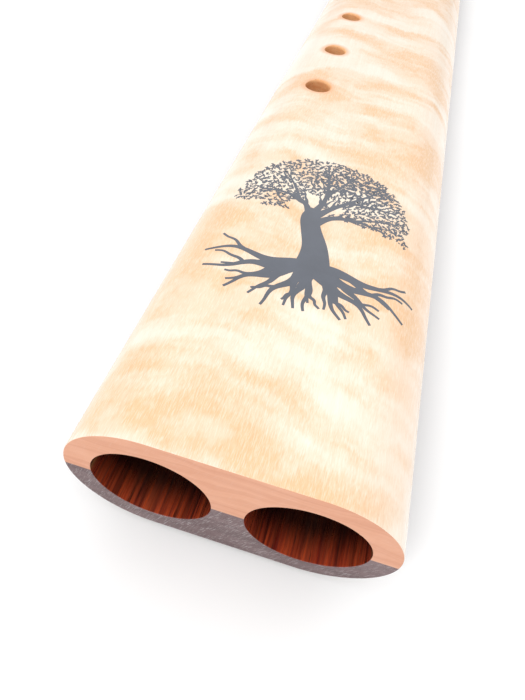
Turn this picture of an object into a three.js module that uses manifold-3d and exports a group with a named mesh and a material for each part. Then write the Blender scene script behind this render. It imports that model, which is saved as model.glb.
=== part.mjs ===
// A two-bore drone flute: two flutes side by side in one flat wooden body. The left bore (seen from the foot)
// has six finger holes and plays the melody. The right bore has none and holds one low note, the drone.
//
// The body is two boards glued flat to flat. Each board carries two half-round grooves, so the joined boards
// hold two round bores. A plug in each bore parts the air chamber at the mouth end from the sounding bore at
// the foot end. Breath enters the mouthpiece, fills both air chambers, rises through an exit hole behind each
// plug, runs along the slot in a thin brass plate under a saddle block, and meets the edge of a sound hole.
// One leather lace ties both blocks down. Each block can be pushed a little way along to tune its own bore.
//
// Millimetres. +Z is up, and +Y runs from the foot (-Y end) to the mouth (+Y end). The origin is on the
// resting surface under the middle of the flute.

import * as THREE from "three";
import { mergeVertices } from "three/addons/utils/BufferGeometryUtils.js";
import Module from "manifold-3d";

// ---- Driving dimensions --------------------------------------------------------------------------------
const BORE_RADIUS = 11; // a 7/8 inch bore
const BORE_SPACING = 28; // from bore axis to bore axis
const WALL = 5; // wood around each bore
const BODY_LENGTH = 582; // the two boards, without the mouthpiece
const MOUTHPIECE_LENGTH = 28;
const GLUE_LINE = 0.1;
const FIT_GAP = 0.3; // between pieces cut to each other
const SEAT_GAP = 0.1; // between flat faces that rest on each other

const OUTER_RADIUS = BORE_RADIUS + WALL;
const TOTAL_LENGTH = BODY_LENGTH + MOUTHPIECE_LENGTH;
const MELODY_X = -BORE_SPACING / 2;
const DRONE_X = BORE_SPACING / 2;
const BORES = { melody: MELODY_X, drone: DRONE_X };

// Finger holes: distance from the foot, and radius. The first three suit one hand, the last three the other.
const FINGER_HOLES = [
  { y: 127.4, radius: 3.7 },
  { y: 156, radius: 3.4 },
  { y: 189, radius: 3.3 },
  { y: 224, radius: 3.5 },
  { y: 255, radius: 3.4 },
  { y: 285, radius: 3.2 },
];

// The nest: a flat planed across the top, where the plates and blocks sit.
const EDGE_Y = 430; // the sharp edge that each air jet meets
const SOUND_HOLE_LENGTH = 6.5;
const FLUE_WIDTH = 9;
const NEST_DEPTH = 2;
const NEST_END_Y = 507;
const RAMP_LENGTH = 9;
const UNDERCUT_LENGTH = 6;
const UNDERCUT_START = 1; // under the roof of the bore
const EDGE_THICKNESS = 0.8;
const NEST_Z = OUTER_RADIUS - NEST_DEPTH;

const PLUG_START_Y = 440;
const PLUG_LENGTH = 22;
const EXIT_HOLE_RADIUS = 4;
const EXIT_HOLE_SETBACK = 1.5; // from the plug to the exit hole
const EXIT_HOLE_Y = PLUG_START_Y + PLUG_LENGTH + EXIT_HOLE_RADIUS + EXIT_HOLE_SETBACK;
const FLUE_END_Y = EXIT_HOLE_Y + EXIT_HOLE_RADIUS + 1;

const PLATE_THICKNESS = 1.2;
const PLATE_START_Y = EDGE_Y + FIT_GAP;
const PLATE_LENGTH = 73;

// The blocks: two horns each, with a flat saddle between them for the lace.
const BLOCK_WIDTH = 15;
const BLOCK_START_Y = EDGE_Y + SOUND_HOLE_LENGTH;
const BLOCK_LENGTH = 64;
const SADDLE_HEIGHT = 8; // of the wood under the lace
const HORN_HEIGHT = 14;
const SADDLE_FLAT = 22;
const FOOT_END_HEIGHT = 8.5; // of the block's upright face over the flue
const MOUTH_END_HEIGHT = 3;
const BLOCK_Z = NEST_Z + PLATE_THICKNESS + 2 * SEAT_GAP;
const SADDLE_Y = BLOCK_START_Y + BLOCK_LENGTH / 2;

const LACE_WIDTH = 3.2;
const LACE_THICKNESS = 1.4;
const LACE_PITCH = 3.8;
const LACE_TURNS = 3;
const KNOT = { across: 11, along: 12, height: 4.4, sunk: 0.8 };
const TIE_BAR_HEIGHT = 0.6; // of the strip that crosses the turns under the knot

// The mouthpiece: its lip, the tenons that plug it into the bores, and the way that the breath takes.
const LIP = { halfWidth: 15, halfHeight: 8, rounding: 0.3 };
const TENON_LENGTH = 8;
const CHANNEL_RADIUS = 8;
const CHANNEL_DEPTH = 5;
const PLENUM = { halfWidth: 22, halfHeight: 8, start: 4, end: 11 };
const BLOW_HOLE = { halfWidth: 6.5, halfHeight: 2.75 };

const INLAY_DEPTH = 1.2;

// The lace under the body is the lowest thing, so the body stands on it.
const SEAM_Z = OUTER_RADIUS + FIT_GAP + LACE_THICKNESS;

const ARC_STEPS = 14; // for a quarter of the outside
const BORE_STEPS = 28; // for half of a bore
const ROUND_STEPS = 24; // for small holes
const TENON_STEPS = 32;
const LACE_STEPS = 48; // for one turn
const LIP_STEPS = 12; // from the boards to the lip
const OVAL_STEPS = 40; // round the mouthpiece

// ---- Solids --------------------------------------------------------------------------------------------
const wasm = await Module();
wasm.setup();

/** A closed geometry as a solid that can be joined and cut. */
function solidOf(geometry) {
  const bare = geometry.index ? geometry.toNonIndexed() : geometry.clone();
  for (const name of Object.keys(bare.attributes)) {
    if (name !== "position") bare.deleteAttribute(name);
  }
  const merged = mergeVertices(bare, 1e-4);
  return new wasm.Manifold(
    new wasm.Mesh({
      numProp: 3,
      vertProperties: new Float32Array(merged.attributes.position.array),
      triVerts: new Uint32Array(merged.index.array),
    }),
  );
}

/** A solid as a geometry that a mesh can show. */
function geometryOf(solid) {
  const mesh = solid.getMesh();
  const indexed = new THREE.BufferGeometry()
    .setAttribute("position", new THREE.BufferAttribute(new Float32Array(mesh.vertProperties), 3))
    .setIndex(new THREE.BufferAttribute(new Uint32Array(mesh.triVerts), 1));
  const flat = indexed.toNonIndexed();
  flat.computeVertexNormals();
  return flat;
}

/** Several solids joined into one. */
function joined(solids) {
  return solids.reduce((sum, solid) => sum.add(solid));
}

/** A solid with several others cut out of it. */
function cutBy(solid, tools) {
  return tools.reduce((rest, tool) => rest.subtract(tool), solid);
}

/** A box from its lowest and highest corners. */
function boxSolid(low, high) {
  const size = high.map((value, axis) => value - low[axis]);
  const middle = high.map((value, axis) => (value + low[axis]) / 2);
  return solidOf(new THREE.BoxGeometry(...size).translate(...middle));
}

/** A shape drawn in X and Z, drawn out along Y from y0 to y1. */
function alongBody(shape, y0, y1, curveSegments = ARC_STEPS) {
  const geometry = new THREE.ExtrudeGeometry(shape, { depth: y1 - y0, bevelEnabled: false, curveSegments });
  const axes = new THREE.Matrix4().makeBasis(
    new THREE.Vector3(1, 0, 0),
    new THREE.Vector3(0, 0, 1),
    new THREE.Vector3(0, -1, 0),
  );
  return solidOf(geometry.applyMatrix4(axes).translate(0, y1, 0));
}

/** A shape drawn in Y and Z, drawn out across the body, centred on x. */
function acrossBody(shape, x, width, curveSegments = 12) {
  const geometry = new THREE.ExtrudeGeometry(shape, { depth: width, bevelEnabled: false, curveSegments });
  const axes = new THREE.Matrix4().makeBasis(
    new THREE.Vector3(0, 1, 0),
    new THREE.Vector3(0, 0, 1),
    new THREE.Vector3(1, 0, 0),
  );
  return solidOf(geometry.applyMatrix4(axes).translate(x - width / 2, 0, 0));
}

/** A round bar along Y. */
function barAlong(x, y0, y1, radius, steps = 2 * BORE_STEPS) {
  const circle = new THREE.Shape().absarc(x, 0, radius, 0, 2 * Math.PI, false);
  return alongBody(circle, y0, y1, steps);
}

/** A round bar along Z. */
function barUp(x, y, z0, z1, radius) {
  const geometry = new THREE.CylinderGeometry(radius, radius, z1 - z0, ROUND_STEPS);
  return solidOf(geometry.rotateX(Math.PI / 2).translate(x, y, (z0 + z1) / 2));
}

/** The outline of the whole body, a flat oval, grown or shrunk by grow. */
function ovalShape(grow = 0) {
  const radius = OUTER_RADIUS + grow;
  const shape = new THREE.Shape();
  shape.absarc(DRONE_X, 0, radius, -Math.PI / 2, Math.PI / 2, false);
  shape.absarc(MELODY_X, 0, radius, Math.PI / 2, 1.5 * Math.PI, false);
  return shape;
}

// ---- The two boards ------------------------------------------------------------------------------------
/** One board: half of the flat oval, with a half-round groove for each bore. */
function boardSolid(isUpper) {
  const reach = 2 * OUTER_RADIUS;
  const oval = alongBody(ovalShape(), 0, BODY_LENGTH);
  const half = isUpper
    ? boxSolid([-reach, -1, GLUE_LINE / 2], [reach, BODY_LENGTH + 1, reach])
    : boxSolid([-reach, -1, -reach], [reach, BODY_LENGTH + 1, -GLUE_LINE / 2]);
  const grooves = Object.values(BORES).map((x) => barAlong(x, -1, BODY_LENGTH + 1, BORE_RADIUS));
  return cutBy(oval.intersect(half), grooves);
}

/** The flat planed across the top for the plates and blocks. */
function nestCut() {
  const reach = 2 * OUTER_RADIUS;
  return boxSolid([-reach, EDGE_Y, NEST_Z], [reach, NEST_END_Y, reach]);
}

/** A sound hole: its window, and a ramp and an undercut that leave its foot side a thin edge. */
function soundHoleCuts(x) {
  const half = FLUE_WIDTH / 2;
  const above = OUTER_RADIUS + 1;
  const past = EDGE_Y + 0.5; // a little into the window, so that the cuts meet
  const window = boxSolid([x - half, EDGE_Y, 0], [x + half, EDGE_Y + SOUND_HOLE_LENGTH, above]);
  const ramp = new THREE.Shape([
    new THREE.Vector2(EDGE_Y - RAMP_LENGTH, OUTER_RADIUS),
    new THREE.Vector2(EDGE_Y, NEST_Z),
    new THREE.Vector2(past, NEST_Z),
    new THREE.Vector2(past, above),
    new THREE.Vector2(EDGE_Y - RAMP_LENGTH, above),
  ]);
  const undercut = new THREE.Shape([
    new THREE.Vector2(EDGE_Y - UNDERCUT_LENGTH, 0),
    new THREE.Vector2(past, 0),
    new THREE.Vector2(past, NEST_Z - EDGE_THICKNESS),
    new THREE.Vector2(EDGE_Y, NEST_Z - EDGE_THICKNESS),
    new THREE.Vector2(EDGE_Y - UNDERCUT_LENGTH, BORE_RADIUS - UNDERCUT_START),
  ]);
  return [window, acrossBody(ramp, x, FLUE_WIDTH), acrossBody(undercut, x, FLUE_WIDTH)];
}

function upperBoard(pocket) {
  const top = 2 * OUTER_RADIUS;
  const fingerHoles = FINGER_HOLES.map((hole) => barUp(MELODY_X, hole.y, 0, top, hole.radius));
  const exits = Object.values(BORES).map((x) => barUp(x, EXIT_HOLE_Y, 0, top, EXIT_HOLE_RADIUS));
  const soundHoles = Object.values(BORES).flatMap(soundHoleCuts);
  return cutBy(boardSolid(true), [nestCut(), pocket, ...fingerHoles, ...exits, ...soundHoles]);
}

// ---- The inlaid tree -----------------------------------------------------------------------------------
// A plain tree in dark resin, set flush in the top near the foot: roots, a trunk and a scalloped dome of
// leaves. It is drawn in X and Y, with its trunk rising along +Y.
const TREE = {
  baseY: 49, // where trunk and roots meet
  rootReach: 17,
  rootWidths: { base: 3.4, knee: 1.8, tip: 0.9 },
  rootHeadings: [178, 200, 222, 246, 269, 292, 316, 338, 2], // degrees from +X
  rootBends: [-18, 20], // in turn
  crownY: 65.5, // the underside of the crown
  crownHalfWidth: 19,
  crownHeight: 21,
  crownHollow: 3, // how far the underside is drawn up
  scallops: 14,
  scallopRadius: 2.5,
};

/** A point at an angle, in degrees from +X, and a distance from another point. */
function stepFrom([x, y], degrees, distance) {
  const angle = THREE.MathUtils.degToRad(degrees);
  return [x + distance * Math.cos(angle), y + distance * Math.sin(angle)];
}

/** A rounded, tapering bar between two points with widths, standing through the top of the body. */
function limbPiece(a, b, grow) {
  const heading = Math.atan2(b.at[1] - a.at[1], b.at[0] - a.at[0]);
  const shape = new THREE.Shape();
  shape.absarc(...a.at, a.width / 2 + grow, heading + Math.PI / 2, heading + 1.5 * Math.PI, false);
  shape.absarc(...b.at, b.width / 2 + grow, heading - Math.PI / 2, heading + Math.PI / 2, false);
  const depth = 2 * OUTER_RADIUS;
  return solidOf(new THREE.ExtrudeGeometry(shape, { depth, bevelEnabled: false, curveSegments: 3 }));
}

/** A run of limb pieces through a list of points. */
function limb(points, grow) {
  return points.slice(1).map((point, i) => limbPiece(points[i], point, grow));
}

/** A root: it leaves the base, bends, and thins to its tip. */
function root(degrees, bend, grow) {
  const widths = TREE.rootWidths;
  const base = { at: [0, TREE.baseY], width: widths.base };
  const sideways = Math.abs(Math.cos(THREE.MathUtils.degToRad(degrees)));
  const reach = TREE.rootReach * (0.85 + 0.35 * sideways); // the side roots are the longest
  const knee = { at: stepFrom(base.at, degrees, reach / 2), width: widths.knee };
  const tip = { at: stepFrom(knee.at, degrees + bend, reach / 2), width: widths.tip };
  return limb([base, knee, tip], grow);
}

/** The trunk, with its slight double curve. */
function trunk(grow) {
  const points = [
    { at: [0, TREE.baseY], width: 7 },
    { at: [0.7, TREE.baseY + 5], width: 5 },
    { at: [-0.8, TREE.baseY + 11], width: 4.2 },
    { at: [0, TREE.crownY + 3], width: 4.6 },
  ];
  return limb(points, grow);
}

/** The crown: a dome, hollow underneath, with a row of round scallops along its edge. */
function crown(grow) {
  const { crownY, crownHalfWidth, crownHeight, crownHollow, scallops, scallopRadius } = TREE;
  const dome = new THREE.Shape();
  dome.absellipse(0, crownY, crownHalfWidth + grow, crownHeight + grow, 0, Math.PI, false, 0);
  dome.quadraticCurveTo(0, crownY + crownHollow - 2 * grow, crownHalfWidth + grow, crownY);
  const depth = 2 * OUTER_RADIUS;
  const parts = [solidOf(new THREE.ExtrudeGeometry(dome, { depth, bevelEnabled: false, curveSegments: 12 }))];
  for (let i = 0; i < scallops; i++) {
    const angle = (Math.PI * i) / (scallops - 1);
    const x = crownHalfWidth * Math.cos(angle);
    const y = crownY + crownHeight * Math.sin(angle);
    const pad = new THREE.CylinderGeometry(scallopRadius + grow, scallopRadius + grow, depth, 10);
    parts.push(solidOf(pad.rotateX(Math.PI / 2).translate(x, y, depth / 2)));
  }
  return parts;
}

/** The tree drawn right through the top half of the body, grown sideways by grow. */
function treeSolid(grow) {
  const roots = TREE.rootHeadings.flatMap((heading, i) => root(heading, TREE.rootBends[i % 2], grow));
  return joined([...roots, ...trunk(grow), ...crown(grow)]);
}

/** The tree as a layer under the surface: depth deep, grown sideways by grow. */
function treeLayer(depth, grow) {
  const y0 = TREE.baseY - 2 * TREE.rootReach;
  const y1 = TREE.crownY + 2 * TREE.crownHeight;
  const skin = alongBody(ovalShape(), y0, y1).subtract(alongBody(ovalShape(-depth), y0 - 1, y1 + 1));
  return treeSolid(grow).intersect(skin);
}

// ---- Pieces at the mouth end ---------------------------------------------------------------------------
function plugSolid(x) {
  return barAlong(x, PLUG_START_Y, PLUG_START_Y + PLUG_LENGTH, BORE_RADIUS - FIT_GAP / 2);
}

/** A brass plate: its slot is the flue, from the exit hole to the sound hole. */
function fluePlate(x) {
  const z0 = NEST_Z + SEAT_GAP;
  const z1 = z0 + PLATE_THICKNESS;
  const half = BLOCK_WIDTH / 2;
  const plate = boxSolid([x - half, PLATE_START_Y, z0], [x + half, PLATE_START_Y + PLATE_LENGTH, z1]);
  const flue = boxSolid([x - FLUE_WIDTH / 2, EDGE_Y - 1, z0 - 1], [x + FLUE_WIDTH / 2, FLUE_END_Y, z1 + 1]);
  return cutBy(plate, [flue]);
}

/** A saddle block, drawn from the side. */
function saddleBlock(x) {
  const y0 = BLOCK_START_Y;
  const y1 = y0 + BLOCK_LENGTH;
  const z = BLOCK_Z;
  const saddle = z + SADDLE_HEIGHT;
  const horn = z + HORN_HEIGHT;
  const saddle0 = SADDLE_Y - SADDLE_FLAT / 2;
  const saddle1 = SADDLE_Y + SADDLE_FLAT / 2;
  const side = new THREE.Shape();
  const footHorn = y0 + 9; // the tops of the two horns
  const mouthHorn = y1 - 11;
  const ease = 5; // how far each curve leans level before it turns
  side.moveTo(y0, z);
  side.lineTo(y0, z + FOOT_END_HEIGHT);
  side.bezierCurveTo(y0 + 1, z + FOOT_END_HEIGHT + 4, y0 + ease, horn, footHorn, horn);
  side.bezierCurveTo(footHorn + ease, horn, saddle0 - ease, saddle, saddle0, saddle);
  side.lineTo(saddle1, saddle);
  side.bezierCurveTo(saddle1 + ease, saddle, mouthHorn - 4, horn, mouthHorn, horn);
  side.bezierCurveTo(mouthHorn + ease, horn, y1 - 1, z + MOUTH_END_HEIGHT + ease, y1, z + MOUTH_END_HEIGHT);
  side.lineTo(y1, z);
  side.closePath();
  return acrossBody(side, x, BLOCK_WIDTH);
}

// The lace runs round whatever it ties: these circles are the rounds that it bears on.
const CORNER_ROUND = 1.5;
const CORNER_X = DRONE_X + BLOCK_WIDTH / 2 - 1;
const CORNER_Z = BLOCK_Z + SADDLE_HEIGHT - 1;
const LACE_ROUNDS = [
  { x: DRONE_X, z: 0, radius: OUTER_RADIUS },
  { x: CORNER_X, z: CORNER_Z, radius: CORNER_ROUND },
  { x: -CORNER_X, z: CORNER_Z, radius: CORNER_ROUND },
  { x: MELODY_X, z: 0, radius: OUTER_RADIUS },
];

/** Points round the taut loop, each with its outward direction, starting at the top. */
function laceLoop(steps) {
  const points = [{ x: 0, z: CORNER_Z + CORNER_ROUND, nx: 0, nz: 1 }];
  for (let i = 1; i < steps; i++) {
    const angle = Math.PI / 2 - (2 * Math.PI * i) / steps;
    const [nx, nz] = [Math.cos(angle), Math.sin(angle)];
    const reach = (round) => round.x * nx + round.z * nz + round.radius;
    const round = LACE_ROUNDS.reduce((best, next) => (reach(next) > reach(best) + 1e-9 ? next : best));
    points.push({ x: round.x + round.radius * nx, z: round.z + round.radius * nz, nx, nz });
  }
  return points;
}

/** The lace: a flat strip wound round the body and block, and a knot on the saddle. */
function laceSolid() {
  const loop = laceLoop(LACE_STEPS);
  const gaps = loop.map((point, i) => {
    const next = loop[(i + 1) % loop.length];
    return Math.hypot(next.x - point.x, next.z - point.z);
  });
  const around = gaps.reduce((sum, gap) => sum + gap, 0);
  const rings = [];
  let travelled = 0;
  for (let i = 0; i <= LACE_TURNS * loop.length; i++) {
    const { x, z, nx, nz } = loop[i % loop.length];
    const y = SADDLE_Y + LACE_PITCH * (travelled / around - LACE_TURNS / 2);
    const corner = (out, along) => [x + nx * out, y + along, z + nz * out];
    const half = LACE_WIDTH / 2;
    const low = FIT_GAP;
    const high = FIT_GAP + LACE_THICKNESS;
    rings.push([corner(low, -half), corner(low, half), corner(high, half), corner(high, -half)]);
    travelled += gaps[i % loop.length];
  }
  const strip = skinOf(rings);
  const top = CORNER_Z + CORNER_ROUND + FIT_GAP;
  const knot = new THREE.SphereGeometry(1, 16, 10)
    .scale(KNOT.across / 2, KNOT.along / 2, KNOT.height / 2)
    .translate(0, SADDLE_Y, top + LACE_THICKNESS + KNOT.height / 2 - KNOT.sunk);
  const bar = boxSolid(
    [-LACE_WIDTH / 2, SADDLE_Y - (LACE_PITCH * LACE_TURNS) / 2, top + 0.2],
    [LACE_WIDTH / 2, SADDLE_Y + (LACE_PITCH * LACE_TURNS) / 2, top + LACE_THICKNESS + TIE_BAR_HEIGHT],
  );
  return joined([strip, solidOf(knot), bar]);
}

/** A closed skin over a run of rings, each a list of corners, with flat ends. */
function skinOf(rings) {
  const positions = rings.flat(2);
  const count = rings[0].length;
  const index = [];
  for (let i = 0; i + 1 < rings.length; i++) {
    for (let k = 0; k < count; k++) {
      const a = i * count + k;
      const b = i * count + ((k + 1) % count);
      index.push(a, b, a + count, b, b + count, a + count);
    }
  }
  const last = (rings.length - 1) * count;
  for (let k = 1; k + 1 < count; k++) {
    index.push(0, k + 1, k);
    index.push(last, last + k, last + k + 1);
  }
  const geometry = new THREE.BufferGeometry()
    .setAttribute("position", new THREE.Float32BufferAttribute(positions, 3))
    .setIndex(index);
  const solid = solidOf(geometry);
  if (solid.volume() > 0) return solid;
  for (let i = 0; i < index.length; i += 3) [index[i + 1], index[i + 2]] = [index[i + 2], index[i + 1]];
  return solidOf(geometry.setIndex(index));
}

/** The outside of the mouthpiece, drawn in from the flat oval of the boards to a rounded lip. */
function mouthpieceSkin(y0, length) {
  const rings = [];
  for (let i = 0; i <= LIP_STEPS; i++) {
    const t = i / LIP_STEPS;
    const draw = THREE.MathUtils.smoothstep(t, 0, 1);
    const round = Math.sqrt(1 - LIP.rounding * Math.pow(t, 12));
    const halfHeight = THREE.MathUtils.lerp(OUTER_RADIUS, LIP.halfHeight, draw) * round;
    const halfWidth = THREE.MathUtils.lerp(OUTER_RADIUS + DRONE_X, LIP.halfWidth, draw) * round;
    const ring = [];
    for (let k = 0; k < OVAL_STEPS; k++) {
      const angle = (2 * Math.PI * (k + 0.5)) / OVAL_STEPS;
      const side = Math.sign(Math.cos(angle));
      const x = side * (halfWidth - halfHeight) + halfHeight * Math.cos(angle);
      ring.push([x, y0 + length * t, halfHeight * Math.sin(angle)]);
    }
    rings.push(ring);
  }
  return skinOf(rings);
}

/** The mouthpiece: its tenons plug into the bores, and its slot leads the breath to both chambers. */
function mouthpiece() {
  const y0 = BODY_LENGTH + GLUE_LINE;
  const tenonStart = BODY_LENGTH - TENON_LENGTH;
  const overlap = 1; // so that joined and cut pieces run into each other
  const outside = mouthpieceSkin(y0, MOUTHPIECE_LENGTH - GLUE_LINE);
  const tenons = Object.values(BORES).map((x) =>
    barAlong(x, tenonStart, y0 + overlap, BORE_RADIUS - FIT_GAP, TENON_STEPS),
  );
  const channels = Object.values(BORES).map((x) =>
    barAlong(x, tenonStart - overlap, y0 + CHANNEL_DEPTH, CHANNEL_RADIUS, TENON_STEPS),
  );
  const plenumShape = roundedSlot(PLENUM.halfWidth, PLENUM.halfHeight);
  const plenum = alongBody(plenumShape, y0 + PLENUM.start, y0 + PLENUM.end);
  const blowShape = roundedSlot(BLOW_HOLE.halfWidth, BLOW_HOLE.halfHeight);
  const blowHole = alongBody(blowShape, y0 + PLENUM.end - overlap, TOTAL_LENGTH + overlap);
  return cutBy(joined([outside, ...tenons]), [...channels, plenum, blowHole]);
}

/** A slot with round ends, drawn in X and Z. */
function roundedSlot(halfWidth, halfHeight) {
  const shape = new THREE.Shape();
  shape.absarc(halfWidth - halfHeight, 0, halfHeight, -Math.PI / 2, Math.PI / 2, false);
  shape.absarc(halfHeight - halfWidth, 0, halfHeight, Math.PI / 2, 1.5 * Math.PI, false);
  return shape;
}

// ---- Materials and assembly ----------------------------------------------------------------------------
function finish(color, roughness, metalness = 0) {
  return new THREE.MeshStandardMaterial({ color, roughness, metalness });
}

const FINISHES = {
  maple: finish(0xf0d3a8, 0.35),
  walnut: finish(0x5a2f22, 0.4),
  resin: finish(0x2b2e36, 0.25),
  brass: finish(0xc9a24a, 0.3, 1),
  leather: finish(0x6b4426, 0.75),
  cedar: finish(0xb9774f, 0.6),
};

const flute = new THREE.Group();
flute.position.set(0, -TOTAL_LENGTH / 2, SEAM_Z);

function place(name, solid, material) {
  const mesh = new THREE.Mesh(geometryOf(solid), material);
  mesh.name = name;
  flute.add(mesh);
}

place("upper_board", upperBoard(treeLayer(INLAY_DEPTH + FIT_GAP, FIT_GAP)), FINISHES.maple);
place("lower_board", boardSolid(false), FINISHES.walnut);
place("tree_inlay", treeLayer(INLAY_DEPTH, 0), FINISHES.resin);
place("melody_plug", plugSolid(MELODY_X), FINISHES.cedar);
place("drone_plug", plugSolid(DRONE_X), FINISHES.cedar);
place("melody_plate", fluePlate(MELODY_X), FINISHES.brass);
place("drone_plate", fluePlate(DRONE_X), FINISHES.brass);
place("melody_block", saddleBlock(MELODY_X), FINISHES.walnut);
place("drone_block", saddleBlock(DRONE_X), FINISHES.walnut);
place("leather_lace", laceSolid(), FINISHES.leather);
place("mouthpiece", mouthpiece(), FINISHES.walnut);

const part = new THREE.Group();
part.add(flute);
export default part;
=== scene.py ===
"""A two-bore drone flute, finished around its CAD model.

Two boards are glued flat to flat, with two bores between them: curly maple on top, with a tree inlaid in dark
resin near the foot, and walnut underneath. At the mouth end sit two saddle blocks on brass flue plates, a
leather lace that ties them down, and a walnut mouthpiece.

Everything is in metres, in the frame of the CAD model: +Y runs from the foot to the mouth, and +Z is up.
"""

import logging
import math
import random
from dataclasses import dataclass
from enum import Enum
from typing import Callable, Optional, Sequence

import bpy
from mathutils import Matrix, Vector


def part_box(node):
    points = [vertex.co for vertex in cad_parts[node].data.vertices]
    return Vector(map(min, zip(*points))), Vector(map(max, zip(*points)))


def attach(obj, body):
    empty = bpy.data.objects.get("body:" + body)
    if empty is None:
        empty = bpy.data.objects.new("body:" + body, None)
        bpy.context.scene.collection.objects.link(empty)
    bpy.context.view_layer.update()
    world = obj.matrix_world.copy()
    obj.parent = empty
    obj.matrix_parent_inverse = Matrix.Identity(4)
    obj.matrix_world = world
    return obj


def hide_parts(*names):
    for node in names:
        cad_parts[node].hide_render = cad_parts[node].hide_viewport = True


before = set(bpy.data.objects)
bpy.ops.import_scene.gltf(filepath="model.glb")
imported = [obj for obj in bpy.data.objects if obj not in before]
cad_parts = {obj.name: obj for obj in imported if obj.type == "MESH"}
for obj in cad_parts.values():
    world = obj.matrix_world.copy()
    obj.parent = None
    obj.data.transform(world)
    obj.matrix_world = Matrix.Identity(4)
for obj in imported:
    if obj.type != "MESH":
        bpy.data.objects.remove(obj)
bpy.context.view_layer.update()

MM = 0.001
HAIR = 1e-6  # metres: places closer than this count as the same
log = logging.getLogger("drone_flute")

Piece = bpy.types.Object
Material = bpy.types.Material
Test = Callable[..., bool]


# ---- The frame -----------------------------------------------------------------------------------------
@dataclass(frozen=True)
class Layout:
    """Where the flute's main surfaces lie, read from the CAD nodes."""

    foot_y: float
    mouth_y: float
    seam_z: float
    outer_radius: float
    bore_x: float
    bore_radius: float
    edge_y: float
    window_end_y: float
    nest_z: float

    @classmethod
    def from_frame(cls) -> "Layout":
        """Reads the sizes off the boards, plugs, plates and blocks.

        Returns:
            The layout of this flute.
        """
        plug_clearance = 0.15 * MM
        plate_clearance = 0.3 * MM
        seat_gap = 0.1 * MM
        low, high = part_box("upper_board")
        seam_z = (low.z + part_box("lower_board")[1].z) / 2
        plug_low, plug_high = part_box("melody_plug")
        plate_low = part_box("melody_plate")[0]
        return cls(
            foot_y=low.y,
            mouth_y=high.y,
            seam_z=seam_z,
            outer_radius=high.z - seam_z,
            bore_x=high.x - (high.z - seam_z),
            bore_radius=(plug_high.x - plug_low.x) / 2 + plug_clearance,
            edge_y=plate_low.y - plate_clearance,
            window_end_y=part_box("melody_block")[0].y,
            nest_z=plate_low.z - seat_gap,
        )

    def bores(self) -> tuple[float, float]:
        """The place across of the melody bore and of the drone bore."""
        return (-self.bore_x, self.bore_x)

    def top_z(self, x: float) -> float:
        """Height of the top surface at a place across.

        Args:
            x: The distance from the middle of the flute.

        Returns:
            The height above the ground.
        """
        beyond = max(0.0, abs(x) - self.bore_x)
        return self.seam_z + math.sqrt(self.outer_radius**2 - beyond**2)


FINGER_HOLES = (
    # distance from the foot, and radius
    (127.4 * MM, 3.7 * MM),
    (156.0 * MM, 3.4 * MM),
    (189.0 * MM, 3.3 * MM),
    (224.0 * MM, 3.5 * MM),
    (255.0 * MM, 3.4 * MM),
    (285.0 * MM, 3.2 * MM),
)


# ---- The bench: how pieces are shaped --------------------------------------------------------------------
class Kind(Enum):
    """What an edit picks."""

    POINT = 0
    EDGE = 1
    FACE = 2


class Along(Enum):
    """The direction of a round bar, as the turn that lays a standing bar down."""

    BORE = (math.pi / 2, 0.0, 0.0)
    UP = (0.0, 0.0, 0.0)


class Tool(Enum):
    """What a tool does to the piece that it is put to."""

    CUTS = "DIFFERENCE"
    JOINS = "UNION"


def take(piece: Piece) -> Piece:
    """Leaves edit mode and makes one piece the only one selected.

    Args:
        piece: The piece to work on.

    Returns:
        The same piece.
    """
    leave_edit()
    bpy.ops.object.select_all(action="DESELECT")
    bpy.context.view_layer.objects.active = piece
    piece.select_set(True)
    return piece


def leave_edit() -> None:
    """Goes back to object mode."""
    active = bpy.context.view_layer.objects.active
    if active is not None and active.mode != "OBJECT":
        bpy.ops.object.mode_set(mode="OBJECT")


def clear_bench() -> None:
    """Leaves edit mode and selects nothing."""
    leave_edit()
    bpy.ops.object.select_all(action="DESELECT")


def settle() -> Piece:
    """Puts the active piece's place, turn and scale into its mesh.

    Returns:
        The active piece.
    """
    bpy.ops.object.transform_apply(location=True, rotation=True, scale=True)
    return bpy.context.view_layer.objects.active


def add_bar(along: Along, centre: Sequence[float], radius: float, length: float, sides: int) -> Piece:
    """Adds a round bar.

    Args:
        along: The direction of its axis.
        centre: Its middle.
        radius: Its radius.
        length: Its length.
        sides: How many flats its outline has.

    Returns:
        The new piece.
    """
    clear_bench()
    bpy.ops.mesh.primitive_cylinder_add(
        vertices=sides, radius=radius, depth=length, location=centre, rotation=along.value
    )
    return settle()


def add_box(low: Sequence[float], high: Sequence[float]) -> Piece:
    """Adds a box between two corners.

    Args:
        low: The corner with the lowest x, y and z.
        high: The corner with the highest.

    Returns:
        The new piece.
    """
    clear_bench()
    middle = [(a + b) / 2 for a, b in zip(low, high)]
    size = [b - a for a, b in zip(low, high)]
    bpy.ops.mesh.primitive_cube_add(size=1, location=middle, scale=size)
    return settle()


def unpicked(piece: Piece, kind: Kind) -> bpy.types.Mesh:
    """Gets a piece ready for selecting one kind of thing, with nothing selected yet.

    Args:
        piece: The piece to edit.
        kind: What will be selected.

    Returns:
        The piece's mesh.
    """
    mesh = take(piece).data
    bpy.context.tool_settings.mesh_select_mode = tuple(kind is each for each in Kind)
    for items in (mesh.vertices, mesh.edges, mesh.polygons):
        items.foreach_set("select", [False] * len(items))
    return mesh


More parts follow.
